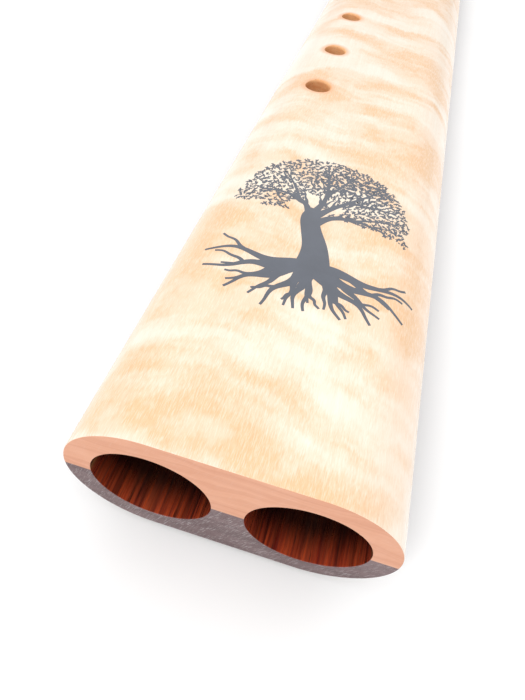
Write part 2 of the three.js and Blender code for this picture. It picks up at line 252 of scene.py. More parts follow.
def pick(piece: Piece, kind: Kind, test: Test) -> int:
    """Selects the points, edges or faces that pass a test, and goes into edit mode.

    Args:
        piece: The piece to edit.
        kind: What to select.
        test: Takes a point, an edge's two ends, or a face's centre and normal.

    Returns:
        How many are selected.
    """
    mesh = unpicked(piece, kind)
    points = [vertex.co for vertex in mesh.vertices]
    if kind is Kind.POINT:
        chosen = [v for v in mesh.vertices if test(v.co)]
    elif kind is Kind.EDGE:
        chosen = [e for e in mesh.edges if test(points[e.vertices[0]], points[e.vertices[1]])]
    else:
        chosen = [f for f in mesh.polygons if test(f.center, f.normal)]
    for item in chosen:
        item.select = True
    bpy.ops.object.mode_set(mode="EDIT")
    return len(chosen)


def pick_cap(piece: Piece, sides: int) -> None:
    """Selects the cap that was made last, and goes into edit mode.

    Args:
        piece: The piece to edit.
        sides: How many sides the cap has.
    """
    mesh = unpicked(piece, Kind.FACE)
    cap = next(face for face in reversed(mesh.polygons) if len(face.vertices) == sides)
    cap.select = True
    bpy.ops.object.mode_set(mode="EDIT")


def apply_modifier(piece: Piece, kind: str, **settings: object) -> None:
    """Adds one modifier to a piece and applies it.

    Args:
        piece: The piece.
        kind: The modifier's type.
        settings: Its values by name.
    """
    take(piece)
    modifier = piece.modifiers.new("step", kind)
    for name, value in settings.items():
        setattr(modifier, name, value)
    bpy.ops.object.modifier_apply(modifier=modifier.name)


def copy_of(pattern: Piece, place: Matrix) -> Piece:
    """Copies a piece, with its own mesh.

    Args:
        pattern: The piece to copy.
        place: Where the copy goes, put into its mesh.

    Returns:
        The copy.
    """
    copy = bpy.data.objects.new(pattern.name, pattern.data.copy())
    copy.data.transform(place)
    bpy.context.scene.collection.objects.link(copy)
    return copy


def join(pieces: Sequence[Piece]) -> Piece:
    """Puts several pieces into one mesh.

    Args:
        pieces: The pieces. The first one keeps its name.

    Returns:
        The joined piece.
    """
    take(pieces[0])
    for piece in pieces[1:]:
        piece.select_set(True)
    if len(pieces) > 1:
        bpy.ops.object.join()
    return pieces[0]


def combine(piece: Piece, tools: Sequence[Piece], how: Tool = Tool.CUTS) -> None:
    """Cuts tools out of a piece or adds them to it, and puts the tools away.

    Args:
        piece: The piece to keep.
        tools: Solids that don't touch each other.
        how: What the tools do.
    """
    tool = join(tools)
    apply_modifier(piece, "BOOLEAN", operation=how.value, solver="EXACT", object=tool)
    bpy.data.objects.remove(tool, do_unlink=True)


def round_edges(piece: Piece, test: Test, width: float, steps: int = 2) -> None:
    """Rounds the edges that pass a test.

    Args:
        piece: The piece.
        test: Takes an edge's two ends.
        width: How far the rounding reaches from the edge.
        steps: How many flats it has.
    """
    if pick(piece, Kind.EDGE, test):
        bpy.ops.mesh.bevel(offset=width, segments=steps, affect="EDGES", clamp_overlap=False)
    leave_edit()


def grow_top(piece: Piece, rise: float, scale: float, centre: Sequence[float]) -> None:
    """Draws a piece's flat top up and widens it.

    Args:
        piece: The piece.
        rise: How far the top goes up.
        scale: How much wider it gets.
        centre: The point that it widens from.
    """
    pick(piece, Kind.FACE, lambda middle, normal: normal.z > 0.9)
    bpy.ops.mesh.extrude_region_move(TRANSFORM_OT_translate={"value": (0, 0, rise)})
    bpy.ops.transform.resize(value=(scale, scale, 1), center_override=centre)
    leave_edit()


def tidy_mesh(piece: Piece, smooth_degrees: float = 38.0, weighted: bool = True) -> None:
    """Merges doubles, turns faces outward and smooths the shading up to an angle.

    Args:
        piece: The piece.
        smooth_degrees: Edges sharper than this stay crisp.
        weighted: Whether large faces decide the shading at their edges.
    """
    merge_distance = 0.0005 * MM
    pick(piece, Kind.FACE, lambda centre, normal: True)
    bpy.ops.mesh.remove_doubles(threshold=merge_distance)
    bpy.ops.mesh.normals_make_consistent(inside=False)
    take(piece)
    bpy.ops.object.shade_smooth_by_angle(angle=math.radians(smooth_degrees))
    if weighted:
        apply_modifier(piece, "WEIGHTED_NORMAL", mode="FACE_AREA", keep_sharp=True)


def paint(
    piece: Piece,
    materials: Sequence[Material],
    choose: Optional[Callable[[Vector, Vector], int]] = None,
) -> None:
    """Gives a piece its materials.

    Args:
        piece: The piece.
        materials: Its materials. The first is the usual one.
        choose: Takes a face's centre and normal and gives the number of its material.
    """
    piece.data.materials.clear()
    for material in materials:
        piece.data.materials.append(material)
    for face in piece.data.polygons:
        face.material_index = choose(face.center, face.normal) if choose else 0


def deliver(piece: Piece, name: str, body: str, stands_for: Sequence[str]) -> None:
    """Names a finished piece and hangs it on its CAD body.

    Args:
        piece: The piece, with its place in its mesh.
        name: Its name.
        body: The CAD body that it moves with.
        stands_for: The CAD nodes that it replaces.
    """
    clear_bench()
    piece.name = name
    piece.data.name = name
    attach(piece, body)
    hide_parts(*stands_for)
    faces = sum(len(face.vertices) - 2 for face in piece.data.polygons)
    log.info("%s: %d triangles, on %s", name, faces, body)


# ---- The paint shop: how materials are mixed -------------------------------------------------------------
Colour = tuple[float, float, float]
Socket = bpy.types.NodeSocket


def shade(red: int, green: int, blue: int) -> Colour:
    """A colour as the eye names it, as the light that it gives back.

    Args:
        red: 0 to 255.
        green: 0 to 255.
        blue: 0 to 255.

    Returns:
        The linear colour.
    """

    def linear(value: int) -> float:
        """One channel."""
        share = value / 255
        return share / 12.92 if share <= 0.04045 else ((share + 0.055) / 1.055) ** 2.4

    return (linear(red), linear(green), linear(blue))


class Sum(Enum):
    """One step of arithmetic on values."""

    PLUS = "ADD"
    MINUS = "SUBTRACT"
    TIMES = "MULTIPLY"
    TIMES_PLUS = "MULTIPLY_ADD"
    LEAST = "MINIMUM"
    BELOW = "LESS_THAN"


class Recipe:
    """Writes a node tree one node at a time."""

    def __init__(self, tree: bpy.types.NodeTree) -> None:
        """Starts on an empty tree."""
        self.tree = tree

    def node(self, kind: str, inputs: Optional[dict] = None, **settings: object) -> bpy.types.Node:
        """Adds a node.

        Args:
            kind: The node's type.
            inputs: What each input takes, by name or number: a value, or the socket that feeds it.
            settings: The node's own values by name.

        Returns:
            The node.
        """
        made = self.tree.nodes.new(kind)
        for name, value in settings.items():
            setattr(made, name, value)
        for key, value in (inputs or {}).items():
            if isinstance(value, Socket):
                self.tree.links.new(value, made.inputs[key])
            elif isinstance(value, tuple) and made.inputs[key].type == "RGBA":
                made.inputs[key].default_value = (*value, 1.0)
            else:
                made.inputs[key].default_value = value
        return made

    def stretched(self, vector: Socket, scale: Sequence[float], turn: Sequence[float] = (0, 0, 0)) -> Socket:
        """Scales a place by its own factor on each axis, after a turn in radians."""
        inputs = {"Vector": vector, "Scale": tuple(scale), "Rotation": tuple(turn)}
        return self.node("ShaderNodeMapping", inputs, vector_type="POINT").outputs[0]

    def noise(self, vector: Socket, scale: float = 1.0, detail: float = 2.0, rough: float = 0.5) -> Socket:
        """Soft random blotches, 0 to 1."""
        inputs = {"Vector": vector, "Scale": scale, "Detail": detail, "Roughness": rough}
        return self.node("ShaderNodeTexNoise", inputs).outputs[0]

    def sum(self, step: Sum, first: object, second: object = 0.0, third: object = 0.0) -> Socket:
        """One step of arithmetic."""
        return self.node("ShaderNodeMath", {0: first, 1: second, 2: third}, operation=step.value).outputs[0]

    def spread(
        self, value: Socket, low: float, high: float, to_low: float = 0.0, to_high: float = 1.0
    ) -> Socket:
        """Stretches a range of values to another, and holds it at its ends."""
        inputs = {0: value, 1: low, 2: high, 3: to_low, 4: to_high}
        return self.node("ShaderNodeMapRange", inputs, interpolation_type="SMOOTHSTEP").outputs[0]

    def blend(self, factor: object, first: object, second: object) -> Socket:
        """Mixes two colours."""
        inputs = {0: factor, 6: first, 7: second}
        return self.node("ShaderNodeMix", inputs, data_type="RGBA").outputs[2]

    def tint(self, colour: Socket, mask: Socket, share: float, other: object) -> Socket:
        """Mixes a share of another colour in where a mask is high."""
        return self.blend(self.sum(Sum.TIMES, mask, share), colour, other)

    def bump(self, height: Socket, distance: float, strength: float = 1.0) -> Socket:
        """Turns a height into a normal."""
        inputs = {"Height": height, "Distance": distance, "Strength": strength}
        return self.node("ShaderNodeBump", inputs).outputs[0]


class Effect(Enum):
    """The shared effects, as the names of their node groups."""

    FIBRE = "wood_fibre"
    FIGURE = "curly_figure"
    RINGS = "growth_rings"
    PORES = "open_pores"
    WEAR_AND_SHEEN = "handled_coat"


class Effects:
    """Builds each shared effect once."""

    def __init__(self) -> None:
        """Starts with none."""
        self._made: dict[Effect, bpy.types.NodeTree] = {}

    def place(self, recipe: Recipe, effect: Effect, **inputs: object) -> Socket:
        """Puts an effect into a material.

        Args:
            recipe: The material's recipe.
            effect: Which effect.
            inputs: Its values by name.

        Returns:
            Its output, 0 to 1.
        """
        if effect not in self._made:
            self._made[effect] = self._build(effect)
        group = recipe.tree.nodes.new("ShaderNodeGroup")
        group.node_tree = self._made[effect]
        for name, value in inputs.items():
            if isinstance(value, Socket):
                recipe.tree.links.new(value, group.inputs[name])
            else:
                group.inputs[name].default_value = value
        return group.outputs[0]

    def fibre(self, recipe: Recipe, place: Socket, width: float, length: float) -> Socket:
        """Streaks along the grain, of a width and a length in millimetres."""
        return self.place(recipe, Effect.FIBRE, Place=place, Width=width, Length=length)

    def pores(self, recipe: Recipe, place: Socket, width: float, length: float, amount: float) -> Socket:
        """Open pores of a width and a length in millimetres, in a share of the places."""
        return self.place(recipe, Effect.PORES, Place=place, Width=width, Length=length, Amount=amount)

    def wear_and_sheen_patches(self, recipe: Recipe, place: Socket, size: float) -> Socket:
        """Soft patches of a size in millimetres."""
        return self.place(recipe, Effect.WEAR_AND_SHEEN, Place=place, Size=size)

    def _build(self, effect: Effect) -> bpy.types.NodeTree:
        """Makes the node group of one effect.

        Args:
            effect: The effect.

        Returns:
            Its node group.
        """
        writers = {
            Effect.FIBRE: (self._fibre, ("Width", "Length")),
            Effect.FIGURE: (self._figure, ("Pitch", "Feather", "Drift")),
            Effect.RINGS: (self._rings, ("Pitch", "Waviness")),
            Effect.PORES: (self._pores, ("Width", "Length", "Amount")),
            Effect.WEAR_AND_SHEEN: (self._wear_and_sheen_patches, ("Size",)),
        }
        write, names = writers[effect]
        tree = bpy.data.node_groups.new(effect.value, "ShaderNodeTree")
        tree.interface.new_socket("Place", in_out="INPUT", socket_type="NodeSocketVector")
        for name in names:
            tree.interface.new_socket(name, in_out="INPUT", socket_type="NodeSocketFloat")
        tree.interface.new_socket("Value", in_out="OUTPUT", socket_type="NodeSocketFloat")
        taken = tree.nodes.new("NodeGroupInput")
        given = tree.nodes.new("NodeGroupOutput")
        recipe = Recipe(tree)
        tree.links.new(write(recipe, taken.outputs), given.inputs[0])
        return tree

    @staticmethod
    def _stretch(recipe: Recipe, place: Socket, across: Socket, along: Socket) -> Socket:
        """A place divided by a width across the grain and a length along it."""
        size = recipe.node("ShaderNodeCombineXYZ", {0: across, 1: along, 2: across}).outputs[0]
        return recipe.node("ShaderNodeVectorMath", {0: place, 1: size}, operation="DIVIDE").outputs[0]

    def _fibre(self, recipe: Recipe, taken: bpy.types.NodeOutputs) -> Socket:
        """Fine streaks along the grain.

        Args:
            recipe: The group's recipe.
            taken: What the group takes.

        Returns:
            A value from 0 to 1.
        """
        place = self._stretch(recipe, taken["Place"], taken["Width"], taken["Length"])
        return recipe.spread(recipe.noise(place, 1.0, 3.0, 0.6), 0.3, 0.7)

    def _figure(self, recipe: Recipe, taken: bpy.types.NodeOutputs) -> Socket:
        """Wavy bands across the grain, with edges feathered along it.

        Args:
            recipe: The group's recipe.
            taken: What the group takes.

        Returns:
            A value from 0 to 1.
        """
        place = taken["Place"]
        feather = recipe.noise(recipe.stretched(place, (2.4, 0.16, 2.4)), 1.0, 3.0, 0.7)
        drift = recipe.noise(recipe.stretched(place, (0.03, 0.01, 0.03)), 1.0, 2.0)
        feather = recipe.sum(Sum.TIMES, recipe.sum(Sum.MINUS, feather, 0.5), taken["Feather"])
        drift = recipe.sum(Sum.TIMES, recipe.sum(Sum.MINUS, drift, 0.5), taken["Drift"])
        offset = recipe.node("ShaderNodeCombineXYZ", {1: recipe.sum(Sum.PLUS, feather, drift)}).outputs[0]
        moved = recipe.node("ShaderNodeVectorMath", {0: place, 1: offset}, operation="ADD").outputs[0]
        wide = recipe.sum(Sum.TIMES, taken["Pitch"], 3.2)
        broad = recipe.noise(self._stretch(recipe, moved, wide, taken["Pitch"]), 1.0, 1.0, 0.4)
        narrow = recipe.noise(recipe.stretched(moved, (0.06, 0.26, 0.06)), 1.0, 3.0, 0.6)
        mixed = recipe.sum(Sum.TIMES_PLUS, narrow, 0.3, recipe.sum(Sum.TIMES, broad, 0.7))
        return recipe.spread(mixed, 0.4, 0.6)

    def _rings(self, recipe: Recipe, taken: bpy.types.NodeOutputs) -> Socket:
        """Growth rings cut across: lines along the seam, a little wavy and uneven.

        Args:
            recipe: The group's recipe.
            taken: What the group takes.

        Returns:
            A value from 0 to 1.
        """
        place = taken["Place"]
        wave = recipe.noise(recipe.stretched(place, (0.05, 0.05, 0.12)), 1.0, 2.0)
        wave = recipe.sum(Sum.TIMES, wave, taken["Waviness"])
        lift = recipe.node("ShaderNodeCombineXYZ", {2: wave}).outputs[0]
        moved = recipe.node("ShaderNodeVectorMath", {0: place, 1: lift}, operation="ADD").outputs[0]
        wide = recipe.sum(Sum.TIMES, taken["Pitch"], 30.0)
        size = recipe.node("ShaderNodeCombineXYZ", {0: wide, 1: wide, 2: taken["Pitch"]}).outputs[0]
        line = recipe.node("ShaderNodeVectorMath", {0: moved, 1: size}, operation="DIVIDE").outputs[0]
        return recipe.spread(recipe.noise(line, 1.0, 4.0, 0.6), 0.34, 0.68)

    def _pores(self, recipe: Recipe, taken: bpy.types.NodeOutputs) -> Socket:
        """Open pores: dots on cut ends and short dashes along the grain.

        Args:
            recipe: The group's recipe.
            taken: What the group takes.

        Returns:
            A value from 0 to 1.
        """
        place = self._stretch(recipe, taken["Place"], taken["Width"], taken["Length"])
        cells = recipe.node("ShaderNodeTexVoronoi", {"Vector": place, "Scale": 1.0}, feature="F1")
        chance = recipe.node("ShaderNodeSeparateColor", {0: cells.outputs["Color"]}).outputs[0]
        open_pore = recipe.sum(Sum.BELOW, chance, taken["Amount"])
        dot = recipe.spread(cells.outputs["Distance"], 0.18, 0.34, 1.0, 0.0)
        return recipe.sum(Sum.TIMES, dot, open_pore)

    def _wear_and_sheen_patches(self, recipe: Recipe, taken: bpy.types.NodeOutputs) -> Socket:
        """Soft patches: where hands have dulled or polished a coat, and on the maple a painted highlight.

        Args:
            recipe: The group's recipe.
            taken: What the group takes.

        Returns:
            A value from 0 to 1.
        """
        place = self._stretch(recipe, taken["Place"], taken["Size"], taken["Size"])
        return recipe.spread(recipe.noise(place, 1.0, 4.0, 0.6), 0.3, 0.7)


EFFECTS = Effects()


def start_material(name: str) -> tuple[Material, Recipe, Socket]:
    """Starts a material.

    Args:
        name: Its name.

    Returns:
        The material, its recipe, and a place on the piece in millimetres.
    """
    material = bpy.data.materials.new(name)
    material.use_nodes = True
    material.node_tree.nodes.clear()
    recipe = Recipe(material.node_tree)
    place = recipe.node("ShaderNodeTexCoord").outputs["Object"]
    return material, recipe, recipe.stretched(place, (1 / MM, 1 / MM, 1 / MM))


def end_material(material: Material, recipe: Recipe, inputs: dict) -> Material:
    """Ends a material in its surface shader.

    Args:
        material: The material.
        recipe: Its recipe.
        inputs: What the surface shader takes.

    Returns:
        The material.
    """
    shader = recipe.node("ShaderNodeBsdfPrincipled", inputs)
    output = recipe.node("ShaderNodeOutputMaterial")
    recipe.tree.links.new(shader.outputs[0], output.inputs["Surface"])
    return material


@dataclass(frozen=True)
class CurlyMaple:
    """Maple cut to show its curl, under a clear satin coat."""

    name: str = "curly_maple"
    pale: Colour = shade(242, 229, 210)
    warm: Colour = shade(236, 194, 149)
    streak: Colour = shade(223, 168, 118)
    # the colour of the painted highlight patches, and also of the pale fibre strokes
    painted_highlight_and_pale_fibre: Colour = shade(247, 237, 223)
    pitch: float = 12.0
    feather: float = 4.5
    drift: float = 24.0
    origin: tuple[float, float, float] = (0.0, 9.0, 0.0)
    coat: float = 1.0
    coat_roughness: float = 0.22
    amber: Colour = shade(236, 164, 108)
    soak: tuple[float, float] = (0.3, 2.4)  # from the rim, where the amber starts to fade and where it ends
    soak_share: float = 0.75
    fibre: tuple[float, float] = (0.14, 1.7)
    line: tuple[float, float] = (0.9, 26.0)
    line_share: float = 0.16
    # size of the painted highlight patches, in millimetres
    highlight_size: float = 16.0
    dull_size: float = 30.0
    holes: tuple[tuple[float, float, float], ...] = ()

    def soaked(self, recipe: Recipe, place: Socket) -> Socket:
        """How much the oil has darkened the wood round the finger holes.

        Args:
            recipe: The material's recipe.
            place: A place on the board.

        Returns:
            The share of amber, 0 to 1.
        """
        flat = recipe.stretched(place, (1, 1, 0))
        nearest = None
        for x, y, radius in self.holes:
            inputs = {0: flat, 1: (x, y, 0.0)}
            away = recipe.node("ShaderNodeVectorMath", inputs, operation="DISTANCE").outputs["Value"]
            past_rim = recipe.sum(Sum.MINUS, away, radius)
            nearest = past_rim if nearest is None else recipe.sum(Sum.LEAST, nearest, past_rim)
        return recipe.spread(nearest, *self.soak, self.soak_share, 0.0)

    def material(self) -> Material:
        """Mixes the material.

        Returns:
            The material.
        """
        material, recipe, place = start_material(self.name)
        board = recipe.node("ShaderNodeVectorMath", {0: place, 1: self.origin}, operation="ADD").outputs[0]
        figure = EFFECTS.place(
            recipe, Effect.FIGURE, Place=board, Pitch=self.pitch, Feather=self.feather, Drift=self.drift
        )
        fibre = EFFECTS.fibre(recipe, place, *self.fibre)
        cloud = EFFECTS.wear_and_sheen_patches(recipe, board, self.highlight_size)
        long_fibre = EFFECTS.fibre(recipe, place, *self.line)
        colour = recipe.blend(figure, self.pale, self.warm)
        colour = recipe.tint(colour, long_fibre, self.line_share, self.streak)
        dark_strokes = recipe.spread(fibre, 0.55, 1.0)
        stroke_share = recipe.sum(Sum.TIMES, dark_strokes, recipe.spread(figure, 0.0, 1.0, 0.14, 0.42))
        colour = recipe.blend(stroke_share, colour, self.streak)
        # painted highlight: soft pale patches over the figure
        colour = recipe.blend(recipe.spread(cloud, 0.35, 0.85, 0.0, 0.35), colour, self.painted_highlight_and_pale_fibre)
        light_strokes = recipe.spread(fibre, 0.0, 0.42, 0.35, 0.0)
        colour = recipe.blend(light_strokes, colour, self.painted_highlight_and_pale_fibre)
        colour = recipe.blend(self.soaked(recipe, place), colour, self.amber)
        dull = EFFECTS.wear_and_sheen_patches(recipe, place, self.dull_size)
        inputs = {
            "Base Color": colour,
            "Roughness": recipe.spread(dull, 0.0, 1.0, 0.5, 0.6),
            "Coat Weight": self.coat,
            "Coat Roughness": self.coat_roughness,
            "Normal": recipe.bump(fibre, 0.015 * MM, 0.3),
        }
        return end_material(material, recipe, inputs)


@dataclass(frozen=True)
class CutEnd:
    """The sanded end of a board: growth rings and pores, with no coat."""

    name: str
    early: Colour
    late: Colour
    pore: Colour
    ring_pitch: float
    pore_amount: float
    pore_width: float = 0.32
    roughness: float = 0.72
    scratches: float = 0.1
    scratch: tuple[float, float] = (0.12, 2.6)
    scratch_white: Colour = (0.8, 0.8, 0.8)
    sanding_angle: float = -24.0
    waviness: float = 9.0
    patch_size: float = 7.0
    ring_share: float = 0.75
    patch_share: float = 0.22
    pore_share: float = 0.8

    def turned(self, recipe: Recipe, place: Socket) -> Socket:
        """A place turned so that the sanding marks run steeply over the end."""
        turn = (math.pi / 2, 0, math.radians(self.sanding_angle))
        return recipe.stretched(place, (1, 1, 1), turn)

    def material(self) -> Material:
        """Mixes the material.

        Returns:
            The material.
        """
        material, recipe, place = start_material(self.name)
        sizes = {"Pitch": self.ring_pitch, "Waviness": self.waviness}
        rings = EFFECTS.place(recipe, Effect.RINGS, Place=place, **sizes)
        patch = EFFECTS.wear_and_sheen_patches(recipe, place, self.patch_size)
        colour = recipe.blend(recipe.sum(Sum.TIMES, rings, self.ring_share), self.early, self.late)
        colour = recipe.tint(colour, patch, self.patch_share, self.late)
        flat = recipe.stretched(place, (1.0, 0.02, 1.0))
        pores = EFFECTS.pores(recipe, flat, self.pore_width, self.pore_width, self.pore_amount)
        colour = recipe.tint(colour, pores, self.pore_share, self.pore)
        scratch = EFFECTS.fibre(recipe, self.turned(recipe, place), *self.scratch)
        marks = recipe.spread(scratch, 0.72, 1.0, 0.0, self.scratches)
        colour = recipe.blend(marks, colour, self.scratch_white)
        height = recipe.sum(Sum.MINUS, recipe.sum(Sum.TIMES, rings, 0.25), pores)
        inputs = {
            "Base Color": colour,
            "Roughness": recipe.spread(patch, 0.0, 1.0, self.roughness - 0.06, self.roughness + 0.08),
            "Normal": recipe.bump(height, 0.03 * MM, 0.6),
        }
        return end_material(material, recipe, inputs)


@dataclass(frozen=True)
class StreakedWood:
    """Long grain with streaks and pores, such as walnut, cedar or the lacquered bore."""

    name: str
    dark: Colour
    mid: Colour
    light: Colour
    pore_amount: float = 0.4
    streak_width: float = 1.2
    streak_length: float = 60.0
    flatness: float = 0.3
    roughness: float = 0.45
    coat: float = 0.0
    coat_roughness: float = 0.12
    # painted shade: where along the piece the colour starts and stops darkening towards near black, in
    # millimetres
    painted_shade_span: Optional[tuple[float, float]] = None
    painted_shade_share: float = 0.96
    fine: tuple[float, float] = (0.3, 9.0)
    pore: tuple[float, float] = (0.35, 4.5)
    streak_share: float = 0.6
    fine_share: float = 0.35
    pore_share: float = 0.7

    def painted_bore_shade(self, recipe: Recipe, place: Socket, colour: Socket) -> Socket:
        """The colour with painted shade: darker further in from the end, where little light reaches into the
        bore.

        Args:
            recipe: The material's recipe.
            place: A place on the piece.
            colour: The colour before the painted shade.

        Returns:
            The colour, nearly black at the further end of the stretch.
        """
        along = recipe.node("ShaderNodeSeparateXYZ", {0: place}).outputs["Y"]
        thick = recipe.spread(along, *self.painted_shade_span, 0.0, self.painted_shade_share)
        return recipe.blend(thick, colour, tuple(c * 0.4 for c in self.dark))

    def material(self) -> Material:
        """Mixes the material.

        Returns:
            The material.
        """
        material, recipe, place = start_material(self.name)
        sawn = recipe.stretched(place, (self.flatness, 1.0, 1.0))
        broad = EFFECTS.fibre(recipe, sawn, self.streak_width * 2, self.streak_length * 1.6)
        streak = EFFECTS.fibre(recipe, sawn, self.streak_width, self.streak_length)
        fine = EFFECTS.fibre(recipe, place, *self.fine)
        colour = recipe.blend(broad, self.dark, self.mid)
        colour = recipe.tint(colour, streak, self.streak_share, self.light)
        colour = recipe.tint(colour, fine, self.fine_share, self.dark)
        pores = EFFECTS.pores(recipe, place, *self.pore, self.pore_amount)
        colour = recipe.tint(colour, pores, self.pore_share, tuple(c * 0.35 for c in self.dark))
        # painted shade further in from the end
        if self.painted_shade_span:
            colour = self.painted_bore_shade(recipe, place, colour)
        height = recipe.sum(Sum.TIMES_PLUS, pores, -1.0, recipe.sum(Sum.TIMES, fine, 0.3))
        inputs = {
            "Base Color": colour,
            "Roughness": recipe.spread(fine, 0.0, 1.0, self.roughness - 0.05, self.roughness + 0.07),
            "Coat Weight": self.coat,
            "Coat Roughness": self.coat_roughness,
            "Normal": recipe.bump(height, 0.04 * MM, 0.5),
        }
        return end_material(material, recipe, inputs)


@dataclass(frozen=True)
class Resin:
    """Dark resin levelled with the wood, under the same coat."""

    name: str = "inlay_resin"
    # deep and pale: the resin's own dark blue-grey, lifted above its near-black as painted reflection of the
    # coat's glare
    deep: Colour = shade(62, 68, 81)
    pale: Colour = shade(73, 79, 92)

    def material(self) -> Material:
        """Mixes the material.

        Returns:
            The material.
        """
        material, recipe, place = start_material(self.name)
        cloud = EFFECTS.wear_and_sheen_patches(recipe, place, 6.0)
        ripple = EFFECTS.fibre(recipe, place, 0.7, 0.7)
        colour = recipe.blend(cloud, self.deep, self.pale)
        inputs = {
            "Base Color": colour,
            "Roughness": recipe.spread(cloud, 0.0, 1.0, 0.4, 0.5),
            "Coat Weight": 1.0,
            "Coat Roughness": 0.14,
            "Normal": recipe.bump(ripple, 0.005 * MM, 0.3),
        }
        return end_material(material, recipe, inputs)


@dataclass(frozen=True)
class BrushedBrass:
    """Thin brass sheet with fine brush marks along it."""

    name: str = "brushed_brass"
    bright: Colour = shade(226, 190, 110)
    dull: Colour = shade(186, 145, 76)

    def material(self) -> Material:
        """Mixes the material.

        Returns:
            The material.
        """
        material, recipe, place = start_material(self.name)
        brush = EFFECTS.fibre(recipe, place, 0.08, 14.0)
        tarnish = EFFECTS.wear_and_sheen_patches(recipe, place, 9.0)
        inputs = {
            "Base Color": recipe.blend(tarnish, self.bright, self.dull),
            "Metallic": 1.0,
            "Roughness": recipe.spread(brush, 0.0, 1.0, 0.24, 0.4),
            "Normal": recipe.bump(brush, 0.01 * MM, 0.4),
        }
        return end_material(material, recipe, inputs)


@dataclass(frozen=True)
class Leather:
    """Soft brown lace leather, creased and a little worn."""

    name: str = "lace_leather"
    dark: Colour = shade(84, 50, 30)
    light: Colour = shade(146, 96, 60)

    def material(self) -> Material:
        """Mixes the material.

        Returns:
            The material.
        """
        material, recipe, place = start_material(self.name)
        inputs = {"Vector": place, "Scale": 2.2}
        to_edge = recipe.node("ShaderNodeTexVoronoi", inputs, feature="DISTANCE_TO_EDGE").outputs[0]
        grain = recipe.spread(to_edge, 0.0, 0.25)
        worn = EFFECTS.wear_and_sheen_patches(recipe, place, 3.5)
        crease = recipe.noise(recipe.stretched(place, (1.2, 1.2, 1.2)), 1.0, 5.0, 0.65)
        height = recipe.sum(Sum.TIMES_PLUS, crease, 1.4, grain)
        inputs = {
            "Base Color": recipe.blend(recipe.sum(Sum.TIMES, worn, grain), self.dark, self.light),
            "Roughness": recipe.spread(worn, 0.0, 1.0, 0.68, 0.52),
            "Normal": recipe.bump(height, 0.09 * MM, 0.6),
            "Sheen Weight": 0.15,
        }
        return end_material(material, recipe, inputs)


@dataclass(frozen=True)
class Shelf:
    """Every material of the flute, mixed once."""

    maple: Material
    maple_end: Material
    maple_bore: Material
    burnt: Material
    walnut: Material
    walnut_end: Material
    walnut_bore: Material
    block_walnut: Material
    lip_walnut: Material
    cedar: Material
    resin: Material
    brass: Material
    leather: Material

    @classmethod
    def stock(cls, layout: Layout) -> "Shelf":
        """Mixes them all.

        Args:
            layout: The flute's layout, for the wood round the finger holes.

        Returns:
            The shelf.
        """
        x = -layout.bore_x / MM
        foot = layout.foot_y / MM
        holes = tuple((x, (layout.foot_y + along) / MM, radius / MM) for along, radius in FINGER_HOLES)
        maple_cut = (shade(221, 164, 134), shade(205, 144, 115), shade(186, 125, 100))
        maple_oiled = (shade(70, 36, 18), shade(120, 74, 38), shade(176, 120, 66))
        maple_burnt = (shade(212, 138, 84), shade(238, 180, 124), shade(244, 200, 150))
        walnut = (shade(62, 38, 30), shade(94, 62, 47), shade(128, 90, 68))
        walnut_cut = (shade(122, 101, 102), shade(97, 78, 79), shade(58, 44, 44))
        walnut_red = (shade(26, 8, 7), shade(140, 38, 26), shade(246, 102, 52))
        walnut_bare = (shade(56, 34, 26), shade(86, 54, 40), shade(120, 80, 58))
        walnut_lip = (shade(66, 40, 30), shade(98, 64, 48), shade(132, 92, 70))
        cedar = (shade(120, 72, 50), shade(160, 102, 72), shade(186, 130, 96))
        finishes = {
            "maple": CurlyMaple(holes=holes),
            "maple_end": CutEnd("maple_end", *maple_cut, ring_pitch=1.3, pore_amount=0.0, scratches=0.05),
            "maple_bore": StreakedWood("maple_bore", *maple_oiled, 0.1, roughness=0.4, coat=1.0),
            "burnt": StreakedWood("burnt_hole", *maple_burnt, 0.1, roughness=0.6),
            "walnut": StreakedWood("walnut", *walnut, roughness=0.42, coat=1.0, coat_roughness=0.16),
            "walnut_end": CutEnd(
                "walnut_end", *walnut_cut, ring_pitch=2.4, pore_amount=0.55, pore_width=0.34, scratches=0.3
            ),
            "walnut_bore": StreakedWood(
                "walnut_bore",
                *walnut_red,
                0.2,
                streak_width=0.8,
                streak_length=26.0,
                flatness=1.0,
                roughness=0.3,
                coat=1.0,
                coat_roughness=0.07,
                # painted shade: the bore darkens from 2 mm before the foot to 7.5 mm inside it
                painted_shade_span=(foot - 2.0, foot + 7.5),
            ),
            "block_walnut": StreakedWood("block_walnut", *walnut_bare, roughness=0.5),
            "lip_walnut": StreakedWood("lip_walnut", *walnut_lip, roughness=0.42, coat=1.0),
            "cedar": StreakedWood("plug_cedar", *cedar, 0.1),
            "resin": Resin(),
            "brass": BrushedBrass(),
            "leather": Leather(),
        }
        return cls(**{name: finish.material() for name, finish in finishes.items()})


# ---- The boards ------------------------------------------------------------------------------------------
@dataclass
class Assembly:
    """What every sub-assembly works from."""

    layout: Layout
    shelf: Shelf

    def oval_bar(self, y0: float, y1: float, radius: float, apart: float, sides: int) -> Piece:
        """A flat-oval bar on the seam: a round bar pulled apart along its middle.

        Args:
            y0: Where it starts.
            y1: Where it ends.
            radius: The radius of its edges.
            apart: How far each half is pulled from the middle.
            sides: How many flats its outline has before it is pulled apart.

        Returns:
            The bar.
        """
        middle = (0.0, (y0 + y1) / 2, self.layout.seam_z)
        upright = (math.pi / 2, math.pi / sides, 0)
        clear_bench()
        bpy.ops.mesh.primitive_cylinder_add(
            vertices=sides, radius=radius, depth=y1 - y0, location=middle, rotation=upright
        )
        bar = settle()
        for side in (-1, 1):
            pick(bar, Kind.POINT, lambda point: point.x * side > 0)
            bpy.ops.transform.translate(value=(side * apart, 0, 0))
            leave_edit()
        return bar


